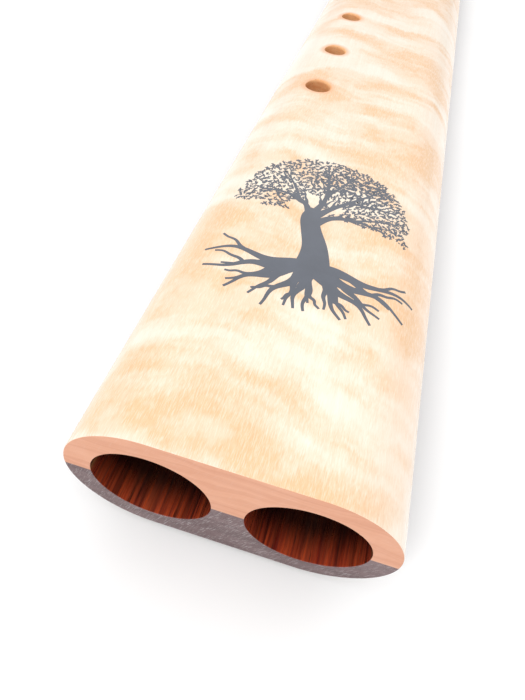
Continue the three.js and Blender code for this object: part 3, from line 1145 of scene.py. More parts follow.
@dataclass
class Board(Assembly):
    """One of the two boards, with its half of each bore."""

    sides: int = 176
    bore_sides: int = 112
    rings: int = 48
    edge_round: float = 0.3 * MM
    bore_round: float = 0.12 * MM
    hole_round: float = 0.7 * MM
    hole_sides: int = 56
    flare_steps: int = 5
    nest_end: float = 507.0 * MM
    window_half: float = 4.5 * MM
    ramp_length: float = 9.0 * MM
    undercut_length: float = 6.0 * MM
    edge_thickness: float = 0.8 * MM
    exit_from_foot: float = 467.5 * MM
    exit_radius: float = 4.0 * MM
    rim_slack: float = 0.001 * MM
    inlet: float = 0.012 * MM

    def blank(self, upper: bool) -> Piece:
        """Half of the bored oval.

        Args:
            upper: Whether it is the top half.

        Returns:
            The blank board.
        """
        layout = self.layout
        board = self.oval_bar(
            layout.foot_y, layout.mouth_y, layout.outer_radius, layout.bore_x, self.sides
        )
        pick(board, Kind.EDGE, lambda a, b: abs(a.y - b.y) > 1 * MM)
        bpy.ops.mesh.subdivide(number_cuts=self.rings)
        leave_edit()
        middle = (layout.foot_y + layout.mouth_y) / 2
        length = layout.mouth_y - layout.foot_y + 10 * MM
        bores = [
            add_bar(Along.BORE, (x, middle, layout.seam_z), layout.bore_radius, length, self.bore_sides)
            for x in layout.bores()
        ]
        combine(board, bores)
        pick(board, Kind.FACE, lambda centre, normal: True)
        bpy.ops.mesh.bisect(
            plane_co=(0, 0, layout.seam_z),
            plane_no=(0, 0, -1 if upper else 1),
            use_fill=True,
            clear_outer=True,
        )
        leave_edit()
        return board

    def is_bore(self, point: Vector) -> bool:
        """Whether a point lies on the wall of a bore, or nearer its axis.

        Args:
            point: The point.

        Returns:
            True if it does.
        """
        limit = self.layout.bore_radius + 0.1 * MM
        height = point.z - self.layout.seam_z
        return any(math.hypot(point.x - x, height) < limit for x in self.layout.bores())

    def is_end(self, centre: Vector, normal: Vector) -> bool:
        """Whether a face belongs to the foot end or the mouth end."""
        ends = (self.layout.foot_y, self.layout.mouth_y)
        return abs(normal.y) > 0.6 and min(abs(centre.y - end) for end in ends) < 1 * MM

    def ease_foot(self, board: Piece) -> None:
        """Rounds the rims at the foot a little, but not the seam.

        Args:
            board: The board.
        """
        layout = self.layout

        def on_foot(a: Vector, b: Vector) -> bool:
            """Whether an edge lies on the foot's rims."""
            at_seam = max(abs(a.z - layout.seam_z), abs(b.z - layout.seam_z)) < self.rim_slack
            return max(a.y, b.y) < layout.foot_y + self.rim_slack and not at_seam

        def on_bore(a: Vector, b: Vector) -> bool:
            """Whether an edge lies on a bore's rim at the foot."""
            return on_foot(a, b) and self.is_bore(a) and self.is_bore(b)

        round_edges(board, lambda a, b: on_foot(a, b) and not self.is_bore(a), self.edge_round)
        round_edges(board, on_bore, self.bore_round)

    def lower(self) -> None:
        """Builds the walnut board."""
        board = self.blank(upper=False)
        self.ease_foot(board)
        tidy_mesh(board)
        shelf = self.shelf

        def choose(centre: Vector, normal: Vector) -> int:
            """The number of a face's material.

            Args:
                centre: The face's centre.
                normal: Its normal.

            Returns:
                The number in the list below.
            """
            if self.is_end(centre, normal):
                return 1
            return 2 if self.is_bore(centre) else 0

        paint(board, [shelf.walnut, shelf.walnut_end, shelf.walnut_bore], choose)
        deliver(board, "walnut_board", "flute_body", ["lower_board"])

    def upper(self) -> None:
        """Builds the maple board, with its holes and nest."""
        layout = self.layout
        board = self.blank(upper=True)
        self.cut_nest(board)
        holes = self.cut_holes(board)
        self.ease_foot(board)
        tidy_mesh(board)
        shelf = self.shelf

        def choose(centre: Vector, normal: Vector) -> int:
            """The number of a face's material.

            Args:
                centre: The face's centre.
                normal: Its normal.

            Returns:
                The number in the list below.
            """
            if self.is_end(centre, normal):
                return 1
            if self.is_bore(centre):
                return 2
            sunk = layout.top_z(centre.x) - centre.z > self.inlet
            in_hole = any(math.hypot(centre.x - x, centre.y - y) < radius for x, y, radius in holes)
            return 3 if sunk and in_hole else 0

        paint(board, [shelf.maple, shelf.maple_end, shelf.maple_bore, shelf.burnt], choose)
        deliver(board, "maple_board", "flute_body", ["upper_board"])

    def cut_nest(self, board: Piece) -> None:
        """Planes the nest flat, and cuts the sound holes with their thin edges.

        Args:
            board: The board.
        """
        layout = self.layout
        half = self.window_half
        reach = 2 * layout.outer_radius
        top = layout.seam_z + layout.outer_radius
        above = top + 1 * MM
        roof = layout.seam_z + layout.bore_radius - 1 * MM
        edge = layout.edge_y
        edge_end = edge + 0.4 * MM
        nest_end = layout.foot_y + self.nest_end
        combine(board, [add_box((-reach, edge, layout.nest_z), (reach, nest_end, above))])
        windows, ramps, undercuts = [], [], []
        for x in layout.bores():
            windows.append(add_box((x - half, edge, layout.seam_z), (x + half, layout.window_end_y, above)))
            ramp = (top, layout.nest_z)
            ramps.append(self.wedge(x, half, edge - self.ramp_length, edge_end, ramp, above))
            under = (roof, layout.nest_z - self.edge_thickness)
            start = edge - self.undercut_length
            undercuts.append(self.wedge(x, half, start, edge_end, under, layout.seam_z))
        for tools in (windows, ramps, undercuts):
            combine(board, tools)

    def wedge(
        self, x: float, half: float, y0: float, y1: float, slope: tuple[float, float], back: float
    ) -> Piece:
        """A wedge with one sloping face.

        Args:
            x: Its middle across.
            half: Half its width.
            y0: Where it starts.
            y1: Where it ends.
            slope: The height of the sloping face at its start and end.
            back: The height of the flat face opposite.

        Returns:
            The wedge.
        """
        low, high = min(back, *slope), max(back, *slope)
        block = add_box((x - half, y0, low), (x + half, y1, high))
        sloping = low if back == high else high
        for y, z in ((y0, slope[0]), (y1, slope[1])):
            pick(block, Kind.POINT, lambda point: max(abs(point.y - y), abs(point.z - sloping)) < HAIR)
            bpy.ops.transform.translate(value=(0, 0, z - sloping))
            leave_edit()
        return block

    def drill(self, x: float, y: float, radius: float, flare: float) -> Piece:
        """A drill that leaves a hole with a rounded rim.

        Args:
            x: The hole's place across.
            y: Its place along.
            radius: Its radius.
            flare: The radius of the rim's rounding, or 0 for a plain hole.

        Returns:
            The drill, as a solid to cut with.
        """
        layout = self.layout
        inside = layout.seam_z + layout.bore_radius / 2
        top = layout.seam_z + layout.outer_radius + 0.02 * MM
        start = top - flare if flare else top + 3 * MM
        middle = (x, y, (inside + start) / 2)
        drill = add_bar(Along.UP, middle, radius, start - inside, self.hole_sides)
        reach, height = radius, start
        for step in range(1, self.flare_steps + 1 if flare else 0):
            angle = math.pi / 2 * step / self.flare_steps
            wide = radius + flare * (1 - math.cos(angle))
            high = top - flare + flare * math.sin(angle)
            grow_top(drill, high - height, wide / reach, (x, y, 0))
            reach, height = wide, high
        if flare:
            grow_top(drill, 3 * MM, 1.0, (x, y, 0))
        return drill

    def cut_holes(self, board: Piece) -> list[tuple[float, float, float]]:
        """Drills the finger holes and the exit holes.

        Args:
            board: The board.

        Returns:
            Each hole's place across, place along and radius, with its rim.
        """
        layout = self.layout
        exit_y = layout.foot_y + self.exit_from_foot
        fingers = [(-layout.bore_x, layout.foot_y + along, radius) for along, radius in FINGER_HOLES]
        exits = [(x, exit_y, self.exit_radius) for x in layout.bores()]
        drills = [self.drill(x, y, radius, self.hole_round) for x, y, radius in fingers]
        drills += [self.drill(x, y, radius, 0.0) for x, y, radius in exits]
        combine(board, drills)
        return [(x, y, radius + self.hole_round) for x, y, radius in fingers] + exits


# ---- The inlaid tree -------------------------------------------------------------------------------------
Step = tuple[float, float, float]  # across, along from the foot, and the width there


@dataclass
class TreeInlay(Assembly):
    """A plain tree set flush in the top: roots, a trunk, branches and many small leaves.

    Its own places are in millimetres: x across the flute and y from the foot.
    """

    trunk: tuple[Step, ...] = (
        (1.2, 45.6, 4.6),
        (1.4, 48.0, 7.6),
        (1.2, 51.0, 6.4),
        (0.6, 54.6, 5.4),
        (-1.3, 59.4, 4.5),
        (-2.5, 63.2, 4.3),
        (-2.2, 65.6, 3.8),
        (-1.9, 67.2, 2.2),
    )
    branches: tuple[tuple[Step, ...], ...] = (
        ((-2.9, 64.6, 2.2), (-3.6, 67.2, 1.5), (-5.6, 69.4, 1.0), (-10.0, 71.2, 0.7), (-17.6, 69.4, 0.3)),
        ((-6.4, 69.9, 0.8), (-8.4, 75.0, 0.5), (-11.8, 79.0, 0.3)),
        ((-2.3, 64.6, 2.2), (-1.3, 68.0, 1.5), (-0.3, 71.6, 1.0), (-0.8, 79.0, 0.6), (-2.4, 85.6, 0.3)),
        ((-0.3, 73.6, 0.8), (3.0, 78.6, 0.6), (4.4, 84.0, 0.3)),
        ((-1.7, 63.8, 2.2), (0.2, 67.2, 1.5), (3.4, 71.0, 1.0), (8.4, 76.4, 0.6), (12.6, 81.6, 0.3)),
        ((5.0, 72.6, 0.7), (10.4, 73.4, 0.5), (16.0, 73.0, 0.3)),
        ((-1.3, 60.6, 2.0), (0.4, 64.4, 1.9), (4.0, 66.3, 1.1), (10.0, 66.8, 0.7), (18.2, 63.6, 0.3)),
        ((7.4, 66.6, 0.7), (13.0, 69.2, 0.5), (17.6, 69.4, 0.3)),
    )
    clearings: tuple[Step, ...] = (
        (-2.9, 70.4, 2.2),
        (1.3, 71.0, 1.4),
        (2.8, 68.2, 1.5),
        (-5.8, 66.6, 2.6),
        (-1.6, 66.6, 2.0),
        (-2.3, 68.6, 1.6),
    )
    thickets: tuple[Step, ...] = ((0.6, 80.0, 5.0), (8.6, 78.2, 5.5))
    base: tuple[float, float] = (1.2, 47.8)
    root_foot: tuple[float, float] = (1.6, 0.6)
    root_widths: tuple[float, float] = (3.4, 0.55)
    root_reach: tuple[float, float] = (23.4, 14.8)
    root_headings: tuple[float, ...] = (176.0, 193.0, 212.0, 236.0, 259.0, 281.0, 304.0, 328.0, 349.0, 2.0)
    crown_middle: tuple[float, float] = (-0.4, 65.8)
    crown_reach: tuple[float, float] = (20.8, 22.6)
    leaf_pitch: float = 1.02
    proud: float = 0.03
    depth: float = 0.4
    seed: int = 11

    def build(self) -> None:
        """Builds the tree."""
        self.chance = random.Random(self.seed)
        self.limbs: list[Sequence[Step]] = [self.trunk, *self.branches]
        for branch in self.branches:
            self.grow_twigs(branch)
        for heading in self.root_headings:
            self.grow_root(heading)
        tree = join([self.limb_sheet(), *self.leaves()])
        self.lay_on(tree)
        apply_modifier(tree, "SOLIDIFY", thickness=self.depth * MM, offset=-1.0, use_even_offset=False)
        tidy_mesh(tree, 40.0, weighted=False)
        paint(tree, [self.shelf.resin])
        deliver(tree, "resin_tree", "flute_body", ["tree_inlay"])

    def grow_twigs(self, branch: Sequence[Step]) -> None:
        """Adds twigs along the outer part of a branch.

        Args:
            branch: The branch.
        """
        for (x0, y0, w0), (x1, y1, w1) in zip(branch[1:], branch[2:]):
            heading = math.degrees(math.atan2(y1 - y0, x1 - x0))
            for side in (-1, 1):
                share = self.chance.uniform(0.1, 0.8)
                start = (x0 + share * (x1 - x0), y0 + share * (y1 - y0))
                turn = side * self.chance.uniform(28, 48)
                length = self.chance.uniform(3.2, 5.6)
                twig = self.wavy(start, heading + turn, length, (0.75 * w0, 0.22), -0.6 * turn, 0.3, 4)
                self.limbs.append([step for step in twig if self.in_crown(step[0], step[1], 0.0)])
        self.limbs = [limb for limb in self.limbs if len(limb) > 1]

    def grow_root(self, heading: float) -> None:
        """Adds one root, which droops, waves and forks twice on its way.

        Args:
            heading: Its direction in degrees from across the flute.
        """
        angle = math.radians(heading)
        foot_x, foot_y = self.root_foot
        start = (self.base[0] + foot_x * math.cos(angle), self.base[1] + foot_y * math.sin(angle))
        length = self.reach(heading) * self.chance.uniform(0.9, 1.0) - foot_x
        side = 1 if 90 < heading < 270 else -1
        bend = side * 9
        steps = 10
        sway = 0.4 + 0.35 * abs(math.cos(angle))
        root = self.wavy(start, heading, length, self.root_widths, bend, sway, steps)
        self.limbs.append(root)
        for fork, fork_side, share in ((3, side, 0.52), (6, -side, 0.34)):
            x, y, width = root[fork]
            turn = fork_side * self.chance.uniform(32, 40)
            widths = (0.85 * width, 0.5)
            self.limbs.append(self.wavy((x, y), heading + turn, share * length, widths, -0.45 * turn, 0.2, 8))

    def wavy(
        self,
        start: tuple[float, float],
        heading: float,
        length: float,
        widths: tuple[float, float],
        bend: float,
        sway: float,
        steps: int,
    ) -> list[Step]:
        """A limb that leaves a point, bends, sways and thins.

        Args:
            start: Where it leaves.
            heading: Its first direction in degrees from across the flute.
            length: Its length.
            widths: Its first and last width.
            bend: How far it turns over its length, in degrees.
            sway: How far it sways from its line.
            steps: How many stretches it has.

        Returns:
            Its steps.
        """
        x, y = start
        limb = [(x, y, widths[0])]
        phase = self.chance.uniform(0, 2 * math.pi)
        waves = self.chance.uniform(1.3, 1.9)
        before = math.sin(phase)
        for step in range(1, steps + 1):
            share = step / steps
            angle = math.radians(heading + bend * share)
            here = math.sin(phase + 2 * math.pi * waves * share)
            across = sway * (here - before)
            before = here
            x += length / steps * math.cos(angle) - across * math.sin(angle)
            y += length / steps * math.sin(angle) + across * math.cos(angle)
            limb.append((x, y, widths[1] + (widths[0] - widths[1]) * (1 - share) ** 1.7))
        return limb

    def reach(self, heading: float) -> float:
        """How far the roots reach in a direction, on an ellipse."""
        angle = math.radians(heading)
        return 1 / math.hypot(math.cos(angle) / self.root_reach[0], math.sin(angle) / self.root_reach[1])

    def in_crown(self, x: float, y: float, margin: float) -> bool:
        """Whether a place lies in the dome of leaves.

        Args:
            x: The place across.
            y: The place along.
            margin: How far inside the dome's outline it has to be.

        Returns:
            True if it does.
        """
        across = (x - self.crown_middle[0]) / (self.crown_reach[0] - margin)
        up = (y - self.crown_middle[1]) / (self.crown_reach[1] - margin)
        droop = -0.2 * max(0.0, across - 0.35) - 0.07 * math.sin(math.pi * min(1.0, max(0.0, -across)))
        ragged = 0.02 * math.sin(23 * across) + 0.015 * math.sin(41 * across + 31 * up)
        return across**2 + max(up, 0.0) ** 2 < 1 + ragged and up > droop + ragged

    def in_clearing(self, x: float, y: float) -> bool:
        """Whether a place lies in the open wood near the fork."""
        return any(math.hypot(x - cx, y - cy) < radius for cx, cy, radius in self.clearings)

    def limb_sheet(self) -> Piece:
        """Every limb as a flat strip.

        Returns:
            One sheet, flat at height zero.
        """
        outline = bpy.data.curves.new("strip", "CURVE")
        line = outline.splines.new("POLY")
        line.points.add(1)
        line.points[0].co = (-0.5 * MM, 0, 0, 1)
        line.points[1].co = (0.5 * MM, 0, 0, 1)
        profile = bpy.data.objects.new("strip", outline)
        bpy.context.scene.collection.objects.link(profile)
        curve = bpy.data.curves.new("limbs", "CURVE")
        curve.dimensions = "3D"
        curve.twist_mode = "Z_UP"
        curve.bevel_mode = "OBJECT"
        curve.bevel_object = profile
        curve.resolution_u = 5
        for number, limb in enumerate(self.limbs):
            spline = curve.splines.new("NURBS")
            spline.points.add(len(limb) - 1)
            spline.use_endpoint_u = True
            spline.order_u = min(3, len(limb))
            height = -0.0001 * number * MM
            for point, (x, y, width) in zip(spline.points, limb):
                point.co = (x * MM, self.layout.foot_y + y * MM, height, 1)
                point.radius = width
        sheet = bpy.data.objects.new("limbs", curve)
        bpy.context.scene.collection.objects.link(sheet)
        take(sheet)
        bpy.ops.object.convert(target="MESH")
        bpy.data.objects.remove(profile, do_unlink=True)
        return bpy.context.view_layer.objects.active

    def spray(self) -> Piece:
        """Three small pointed leaves on one point.

        Returns:
            The spray, flat at height zero.
        """
        clear_bench()
        bpy.ops.mesh.primitive_circle_add(vertices=8, radius=0.5 * MM, fill_type="NGON")
        leaf = settle()
        pick(leaf, Kind.POINT, lambda point: abs(point.x) < 0.1 * MM)
        bpy.ops.transform.resize(value=(1, 1.35, 1))
        leave_edit()
        pick(leaf, Kind.POINT, lambda point: True)
        bpy.ops.transform.resize(value=(0.42, 0.62, 1))
        bpy.ops.transform.translate(value=(0, 0.36 * MM, 0))
        leave_edit()
        leaves = [leaf]
        for turn, height in ((-66, 0.004 * MM), (70, -0.004 * MM)):
            place = Matrix.Translation((0, 0, height))
            leaves.append(copy_of(leaf, place @ Matrix.Rotation(math.radians(turn), 4, "Z")))
        return join(leaves)

    def leaves(self) -> list[Piece]:
        """Sprays of leaves set out over the crown, turned every way.

        Returns:
            The sprays, flat at height zero.
        """
        pattern = self.spray()
        made = []
        row_pitch = self.leaf_pitch * 0.87
        rows = int(1.3 * self.crown_reach[1] / row_pitch)
        rows_below = 5
        columns = int(2.2 * self.crown_reach[0] / self.leaf_pitch)
        jitter = 0.34 * self.leaf_pitch
        for row in range(rows):
            for column in range(columns):
                x = (column - columns / 2 + 0.5 * (row % 2)) * self.leaf_pitch
                x += self.chance.uniform(-jitter, jitter)
                y = (row - rows_below) * row_pitch + self.crown_middle[1]
                y += self.chance.uniform(-jitter, jitter)
                thick = any(math.hypot(x - cx, y - cy) < radius for cx, cy, radius in self.thickets)
                size = self.chance.uniform(0.78, 1.05) * (1.3 if thick else 1.0)
                turn = self.chance.uniform(0, 2 * math.pi)
                height = (-0.015 + 0.006 * (len(made) % 4)) * MM
                if not self.in_crown(x, y, 0.5) or self.in_clearing(x, y):
                    continue
                place = Matrix.Translation((x * MM, self.layout.foot_y + y * MM, height))
                shape = Matrix.Rotation(turn, 4, "Z") @ Matrix.Diagonal((size, size, 1, 1))
                made.append(copy_of(pattern, place @ shape))
        bpy.data.objects.remove(pattern, do_unlink=True)
        return made

    def lay_on(self, tree: Piece) -> None:
        """Bends the flat sheet over the top of the body."""
        for vertex in tree.data.vertices:
            vertex.co.z += self.layout.top_z(vertex.co.x) + self.proud * MM


# ---- The mouth end ---------------------------------------------------------------------------------------
@dataclass
class Plugs(Assembly):
    """The plug in each bore, between the air chamber and the sounding bore."""

    sides: int = 96
    edge_round: float = 0.5 * MM

    def build(self) -> None:
        """Builds both plugs."""
        for name, x in zip(("melody_plug", "drone_plug"), self.layout.bores()):
            low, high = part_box(name)
            middle = (x, (low.y + high.y) / 2, self.layout.seam_z)
            plug = add_bar(Along.BORE, middle, (high.x - low.x) / 2, high.y - low.y, self.sides)
            rims = (low.y, high.y)
            round_edges(plug, lambda a, b: self.on_rim(a, b, rims), self.edge_round, 3)
            tidy_mesh(plug)
            paint(plug, [self.shelf.cedar])
            deliver(plug, f"cedar_{name}", "flute_body", [name])

    @staticmethod
    def on_rim(a: Vector, b: Vector, rims: Sequence[float]) -> bool:
        """Whether an edge lies on the rim at either end of a plug."""
        return any(max(abs(a.y - y), abs(b.y - y)) < HAIR for y in rims)


@dataclass
class FluePlates(Assembly):
    """The thin brass plate under each block. Its slot is the flue."""

    flue_half: float = 4.5 * MM
    flue_end: float = 472.5 * MM
    corner: float = 1.2 * MM
    edge_round: float = 0.12 * MM

    def build(self) -> None:
        """Builds both plates."""
        for name, x in zip(("melody_plate", "drone_plate"), self.layout.bores()):
            low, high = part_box(name)
            plate = add_box(low, high)
            round_edges(plate, lambda a, b: abs(a.z - b.z) > HAIR and a.y > high.y - HAIR, self.corner, 5)
            past = 1 * MM
            end = self.layout.foot_y + self.flue_end
            flue_low = (x - self.flue_half, low.y - past, low.z - past)
            combine(plate, [add_box(flue_low, (x + self.flue_half, end, high.z + past))])
            round_edges(plate, lambda a, b: min(a.z, b.z) > high.z - HAIR, self.edge_round, 2)
            tidy_mesh(plate)
            paint(plate, [self.shelf.brass])
            deliver(plate, f"brass_{name}", "flute_body", [name])


@dataclass
class SaddleBlocks(Assembly):
    """The block over each flue: two horns with a saddle between them for the lace."""

    rows: int = 40
    saddle_height: float = 8.0 * MM
    horn_height: float = 14.0 * MM
    tail_height: float = 4.0 * MM
    length: float = 64.0 * MM
    saddle_flat: float = 22.0 * MM
    front_crest: float = 0.42
    back_crest: float = 0.46
    front_fullness: float = 0.8
    tail_fullness: float = 1.7
    edge_round: float = 1.3 * MM

    def height(self, share: float) -> float:
        """Height of the block's top above its seat.

        Args:
            share: The place along, as a share of the length from the foot side.

        Returns:
            The height.
        """
        along = share * self.length
        rise = self.horn_height - self.saddle_height
        flat0 = (self.length - self.saddle_flat) / 2
        flat1 = self.length - flat0
        if along < flat0:
            crest = flat0 * self.front_crest
            if along < crest:
                climb = math.sin(math.pi / 2 * along / crest)
                return self.saddle_height + rise * climb**self.front_fullness
            fall = (along - crest) / (flat0 - crest)
            return self.saddle_height + rise * (1 + math.cos(math.pi * fall)) / 2
        if along <= flat1:
            return self.saddle_height
        crest = flat1 + flat0 * self.back_crest
        if along < crest:
            climb = (along - flat1) / (crest - flat1)
            return self.saddle_height + rise * (1 - math.cos(math.pi * climb)) / 2
        fall = (along - crest) / (self.length - crest)
        return self.horn_height - (self.horn_height - self.tail_height) * fall**self.tail_fullness

    def build(self) -> None:
        """Builds both blocks."""
        for name, body in (("melody_block", "melody_slider"), ("drone_block", "drone_slider")):
            low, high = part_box(name)
            block = add_box(low, (high.x, high.y, low.z + self.saddle_height))
            pick(block, Kind.EDGE, lambda a, b: abs(a.y - b.y) > 1 * MM)
            bpy.ops.mesh.subdivide(number_cuts=self.rows - 1)
            leave_edit()
            for row in range(self.rows + 1):
                share = row / self.rows
                y = low.y + share * (high.y - low.y)
                top = low.z + self.saddle_height
                pick(block, Kind.POINT, lambda p: abs(p.y - y) < 0.01 * MM and abs(p.z - top) < 0.01 * MM)
                bpy.ops.transform.translate(value=(0, 0, self.height(share) - self.saddle_height))
                leave_edit()
            self.soften(block, low, high)
            tidy_mesh(block, 50.0)
            paint(block, [self.shelf.block_walnut])
            deliver(block, f"walnut_{name}", body, [name])

    def soften(self, block: Piece, low: Vector, high: Vector) -> None:
        """Rounds the block's long upper edges and its ends.

        Args:
            block: The block.
            low: Its lowest corner.
            high: Its highest corner.
        """

        def is_upper(a: Vector, b: Vector) -> bool:
            """Whether an edge runs along the top's sides or over its ends."""
            at_end = abs(a.y - b.y) < HAIR and min(a.y - low.y, high.y - a.y) < HAIR
            return min(a.z, b.z) > low.z + 2 * MM and (abs(a.x - b.x) < HAIR or at_end)

        round_edges(block, is_upper, self.edge_round, 4)


@dataclass
class Mouthpiece(Assembly):
    """The walnut end piece, drawn in to a rounded lip with a slot to blow into."""

    sides: int = 176
    steps: int = 14
    lip_scale: float = 0.5
    lip_round: float = 2.2 * MM
    joint: float = 0.05 * MM
    root: float = 0.5 * MM
    tenon: float = 8.0 * MM
    tenon_clearance: float = 0.3 * MM
    way_radius: float = 8.0 * MM
    way_length: float = 16.0 * MM
    way_sides: int = 64
    hollow: tuple[float, float] = (22.0 * MM, 8.0 * MM)
    slot: tuple[float, float] = (6.5 * MM, 2.75 * MM)
    slot_sides: int = 50
    slot_round: float = 0.7 * MM

    def build(self) -> None:
        """Builds the mouthpiece."""
        layout = self.layout
        low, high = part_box("mouthpiece")
        start = layout.mouth_y + self.joint
        root = start + self.root
        piece = self.oval_bar(start, root, layout.outer_radius, layout.bore_x, self.sides)
        scale = 1.0
        centre = (0, 0, layout.seam_z)
        for step in range(1, self.steps + 1):
            share = step / self.steps
            wanted = 1 + (self.lip_scale - 1) * share * share * (3 - 2 * share)
            pick(piece, Kind.FACE, lambda c, n: n.y > 0.9 and c.y > start + 0.1 * MM)
            move = (high.y - start - self.root) / self.steps
            bpy.ops.mesh.extrude_region_move(TRANSFORM_OT_translate={"value": (0, move, 0)})
            bpy.ops.transform.resize(value=(wanted / scale, 1, wanted / scale), center_override=centre)
            leave_edit()
            scale = wanted
        round_edges(piece, lambda a, b: min(a.y, b.y) > high.y - HAIR, self.lip_round, 6)
        self.bore_out(piece, start, high.y)
        tidy_mesh(piece, 40.0)
        paint(piece, [self.shelf.lip_walnut])
        deliver(piece, "walnut_mouthpiece", "flute_body", ["mouthpiece"])

    def bore_out(self, piece: Piece, start: float, end: float) -> None:
        """Adds the tenons, and cuts the way that the breath takes.

        Args:
            piece: The mouthpiece.
            start: Where it meets the body.
            end: Where its lip is.
        """
        layout = self.layout
        lap = 1 * MM
        radius = layout.bore_radius - self.tenon_clearance
        for x in layout.bores():
            middle = (x, start + (lap - self.tenon) / 2, layout.seam_z)
            tenon = add_bar(Along.BORE, middle, radius, self.tenon + lap, self.way_sides)
            combine(piece, [tenon], Tool.JOINS)
        ways = []
        for x in layout.bores():
            middle = (x, start - 2 * MM, layout.seam_z)
            ways.append(add_bar(Along.BORE, middle, self.way_radius, self.way_length, self.way_sides))
        combine(piece, ways)
        combine(piece, [self.slot_bar(*self.hollow, start + 4 * MM, start + 11 * MM)])
        combine(piece, [self.slot_bar(*self.slot, start + 10 * MM, end + 5 * MM)])
        slack = 0.1 * MM

        def on_slot(point: Vector) -> bool:
            """Whether a point lies on the slot's wall."""
            half_width, half_height = self.slot
            return abs(point.x) < half_width + slack and abs(point.z - layout.seam_z) < half_height + slack

        def on_rim(a: Vector, b: Vector) -> bool:
            """Whether an edge lies on the slot's rim."""
            return on_slot(a) and on_slot(b) and min(a.y, b.y) > end - HAIR

        round_edges(piece, on_rim, self.slot_round, 4)

    def slot_bar(self, half_width: float, half_height: float, y0: float, y1: float) -> Piece:
        """A bar with a round-ended slot's outline."""
        return self.oval_bar(y0, y1, half_height, half_width - half_height, self.slot_sides)


@dataclass
class Lace(Assembly):
    """The leather lace round the body and both blocks, bound at the middle."""

    width: float = 3.2 * MM
    thickness: float = 1.3 * MM
    turns: int = 3
    pitch: float = 3.8 * MM
    steps: int = 72
    clearance: float = 0.15 * MM
    corner: float = 1.3 * MM
    saddle_height: float = 8.0 * MM
    strip_sides: int = 12
    squareness: float = 0.45
    binding_offset: float = 1.75 * MM
    binding_steps: int = 48

    def build(self) -> None:
        """Builds the lace."""
        low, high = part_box("melody_block")
        self.middle_y = (low.y + high.y) / 2
        self.saddle_z = low.z + self.saddle_height
        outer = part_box("drone_block")[1].x
        layout = self.layout
        self.rounds = (
            (layout.bore_x, layout.seam_z, layout.outer_radius),
            (outer - self.corner, self.saddle_z - self.corner, self.corner),
            (self.corner - outer, self.saddle_z - self.corner, self.corner),
            (-layout.bore_x, layout.seam_z, layout.outer_radius),
        )
        strands = [self.strand(self.wound_path(), "lace")]
        for x in (-self.binding_offset, self.binding_offset):
            strands.append(self.strand(self.binding_path(x), "binding", across=True))
        lace = join(strands)
        tidy_mesh(lace, 50.0, weighted=False)
        paint(lace, [self.shelf.leather])
        deliver(lace, "leather_lacing", "flute_body", ["leather_lace"])

    def wound_path(self) -> list[Vector]:
        """The winding, from the top, round the body and back, turn after turn.

        Returns:
            The points that the middle of the lace follows.
        """
        out = self.clearance + self.thickness / 2
        points = []
        for step in range(self.turns * self.steps + 1):
            angle = math.pi / 2 - 2 * math.pi * step / self.steps
            nx, nz = math.cos(angle), math.sin(angle)
            if step % self.steps == 0:
                x, z = 0.0, self.saddle_z
            else:
                cx, cz, radius = max(self.rounds, key=lambda r: round(r[0] * nx + r[1] * nz + r[2], 9))
                x, z = cx + radius * nx, cz + radius * nz
            y = self.middle_y + self.pitch * (step / self.steps - self.turns / 2)
            points.append(Vector((x + nx * out, y, z + nz * out)))
        return points

    def binding_path(self, x: float) -> list[Vector]:
        """A turn round the bundle of strands, between the blocks.

        Args:
            x: Its place across.

        Returns:
            The points that its middle follows.
        """
        half_y = self.turns * self.pitch / 2 + self.width / 2 - 0.4 * MM
        half_z = self.thickness * 1.05
        top = self.saddle_z + self.clearance + self.thickness / 2
        points = []
        for step in range(self.binding_steps + 1):
            angle = 2 * math.pi * step / self.binding_steps
            side = math.copysign(1.0, math.cos(angle)) if abs(math.cos(angle)) > 1e-9 else 0.0
            y = side * (half_y - half_z) + half_z * math.cos(angle)
            points.append(Vector((x, self.middle_y + y, top + half_z * math.sin(angle))))
        return points

    def strand(self, path: Sequence[Vector], name: str, across: bool = False) -> Piece:
        """A strip of leather along a path.

        Args:
            path: The points that it follows.
            name: Its name.
            across: Whether its wide side lies across the flute, not along it.

        Returns:
            The strip.
        """
        wide = Vector((1, 0, 0)) if across else Vector((0, 1, 0))
        clear_bench()
        bpy.ops.mesh.primitive_circle_add(vertices=self.strip_sides, radius=1, fill_type="NGON")
        strip = settle()
        strip.name = name
        outline = [vertex.co.copy() for vertex in strip.data.vertices]
        half = (self.width / 2, self.thickness / 2)
        frames = []
        for index, point in enumerate(path):
            ahead = path[min(index + 1, len(path) - 1)] - path[max(index - 1, 0)]
            ahead.normalize()
            up = ahead.cross(wide).normalized()
            frames.append((point, up))
        corners = [
            [math.copysign(abs(each) ** self.squareness, each) * reach for each, reach in zip(corner, half)]
            for corner in outline
        ]
        for number, (point, up) in enumerate(frames):
            if number > 0:
                pick_cap(strip, self.strip_sides)
                bpy.ops.mesh.extrude_region_move()
                leave_edit()
            for vertex, (sideways, out) in zip(list(strip.data.vertices)[-self.strip_sides :], corners):
                vertex.co = point + wide * sideways + up * out
        return strip


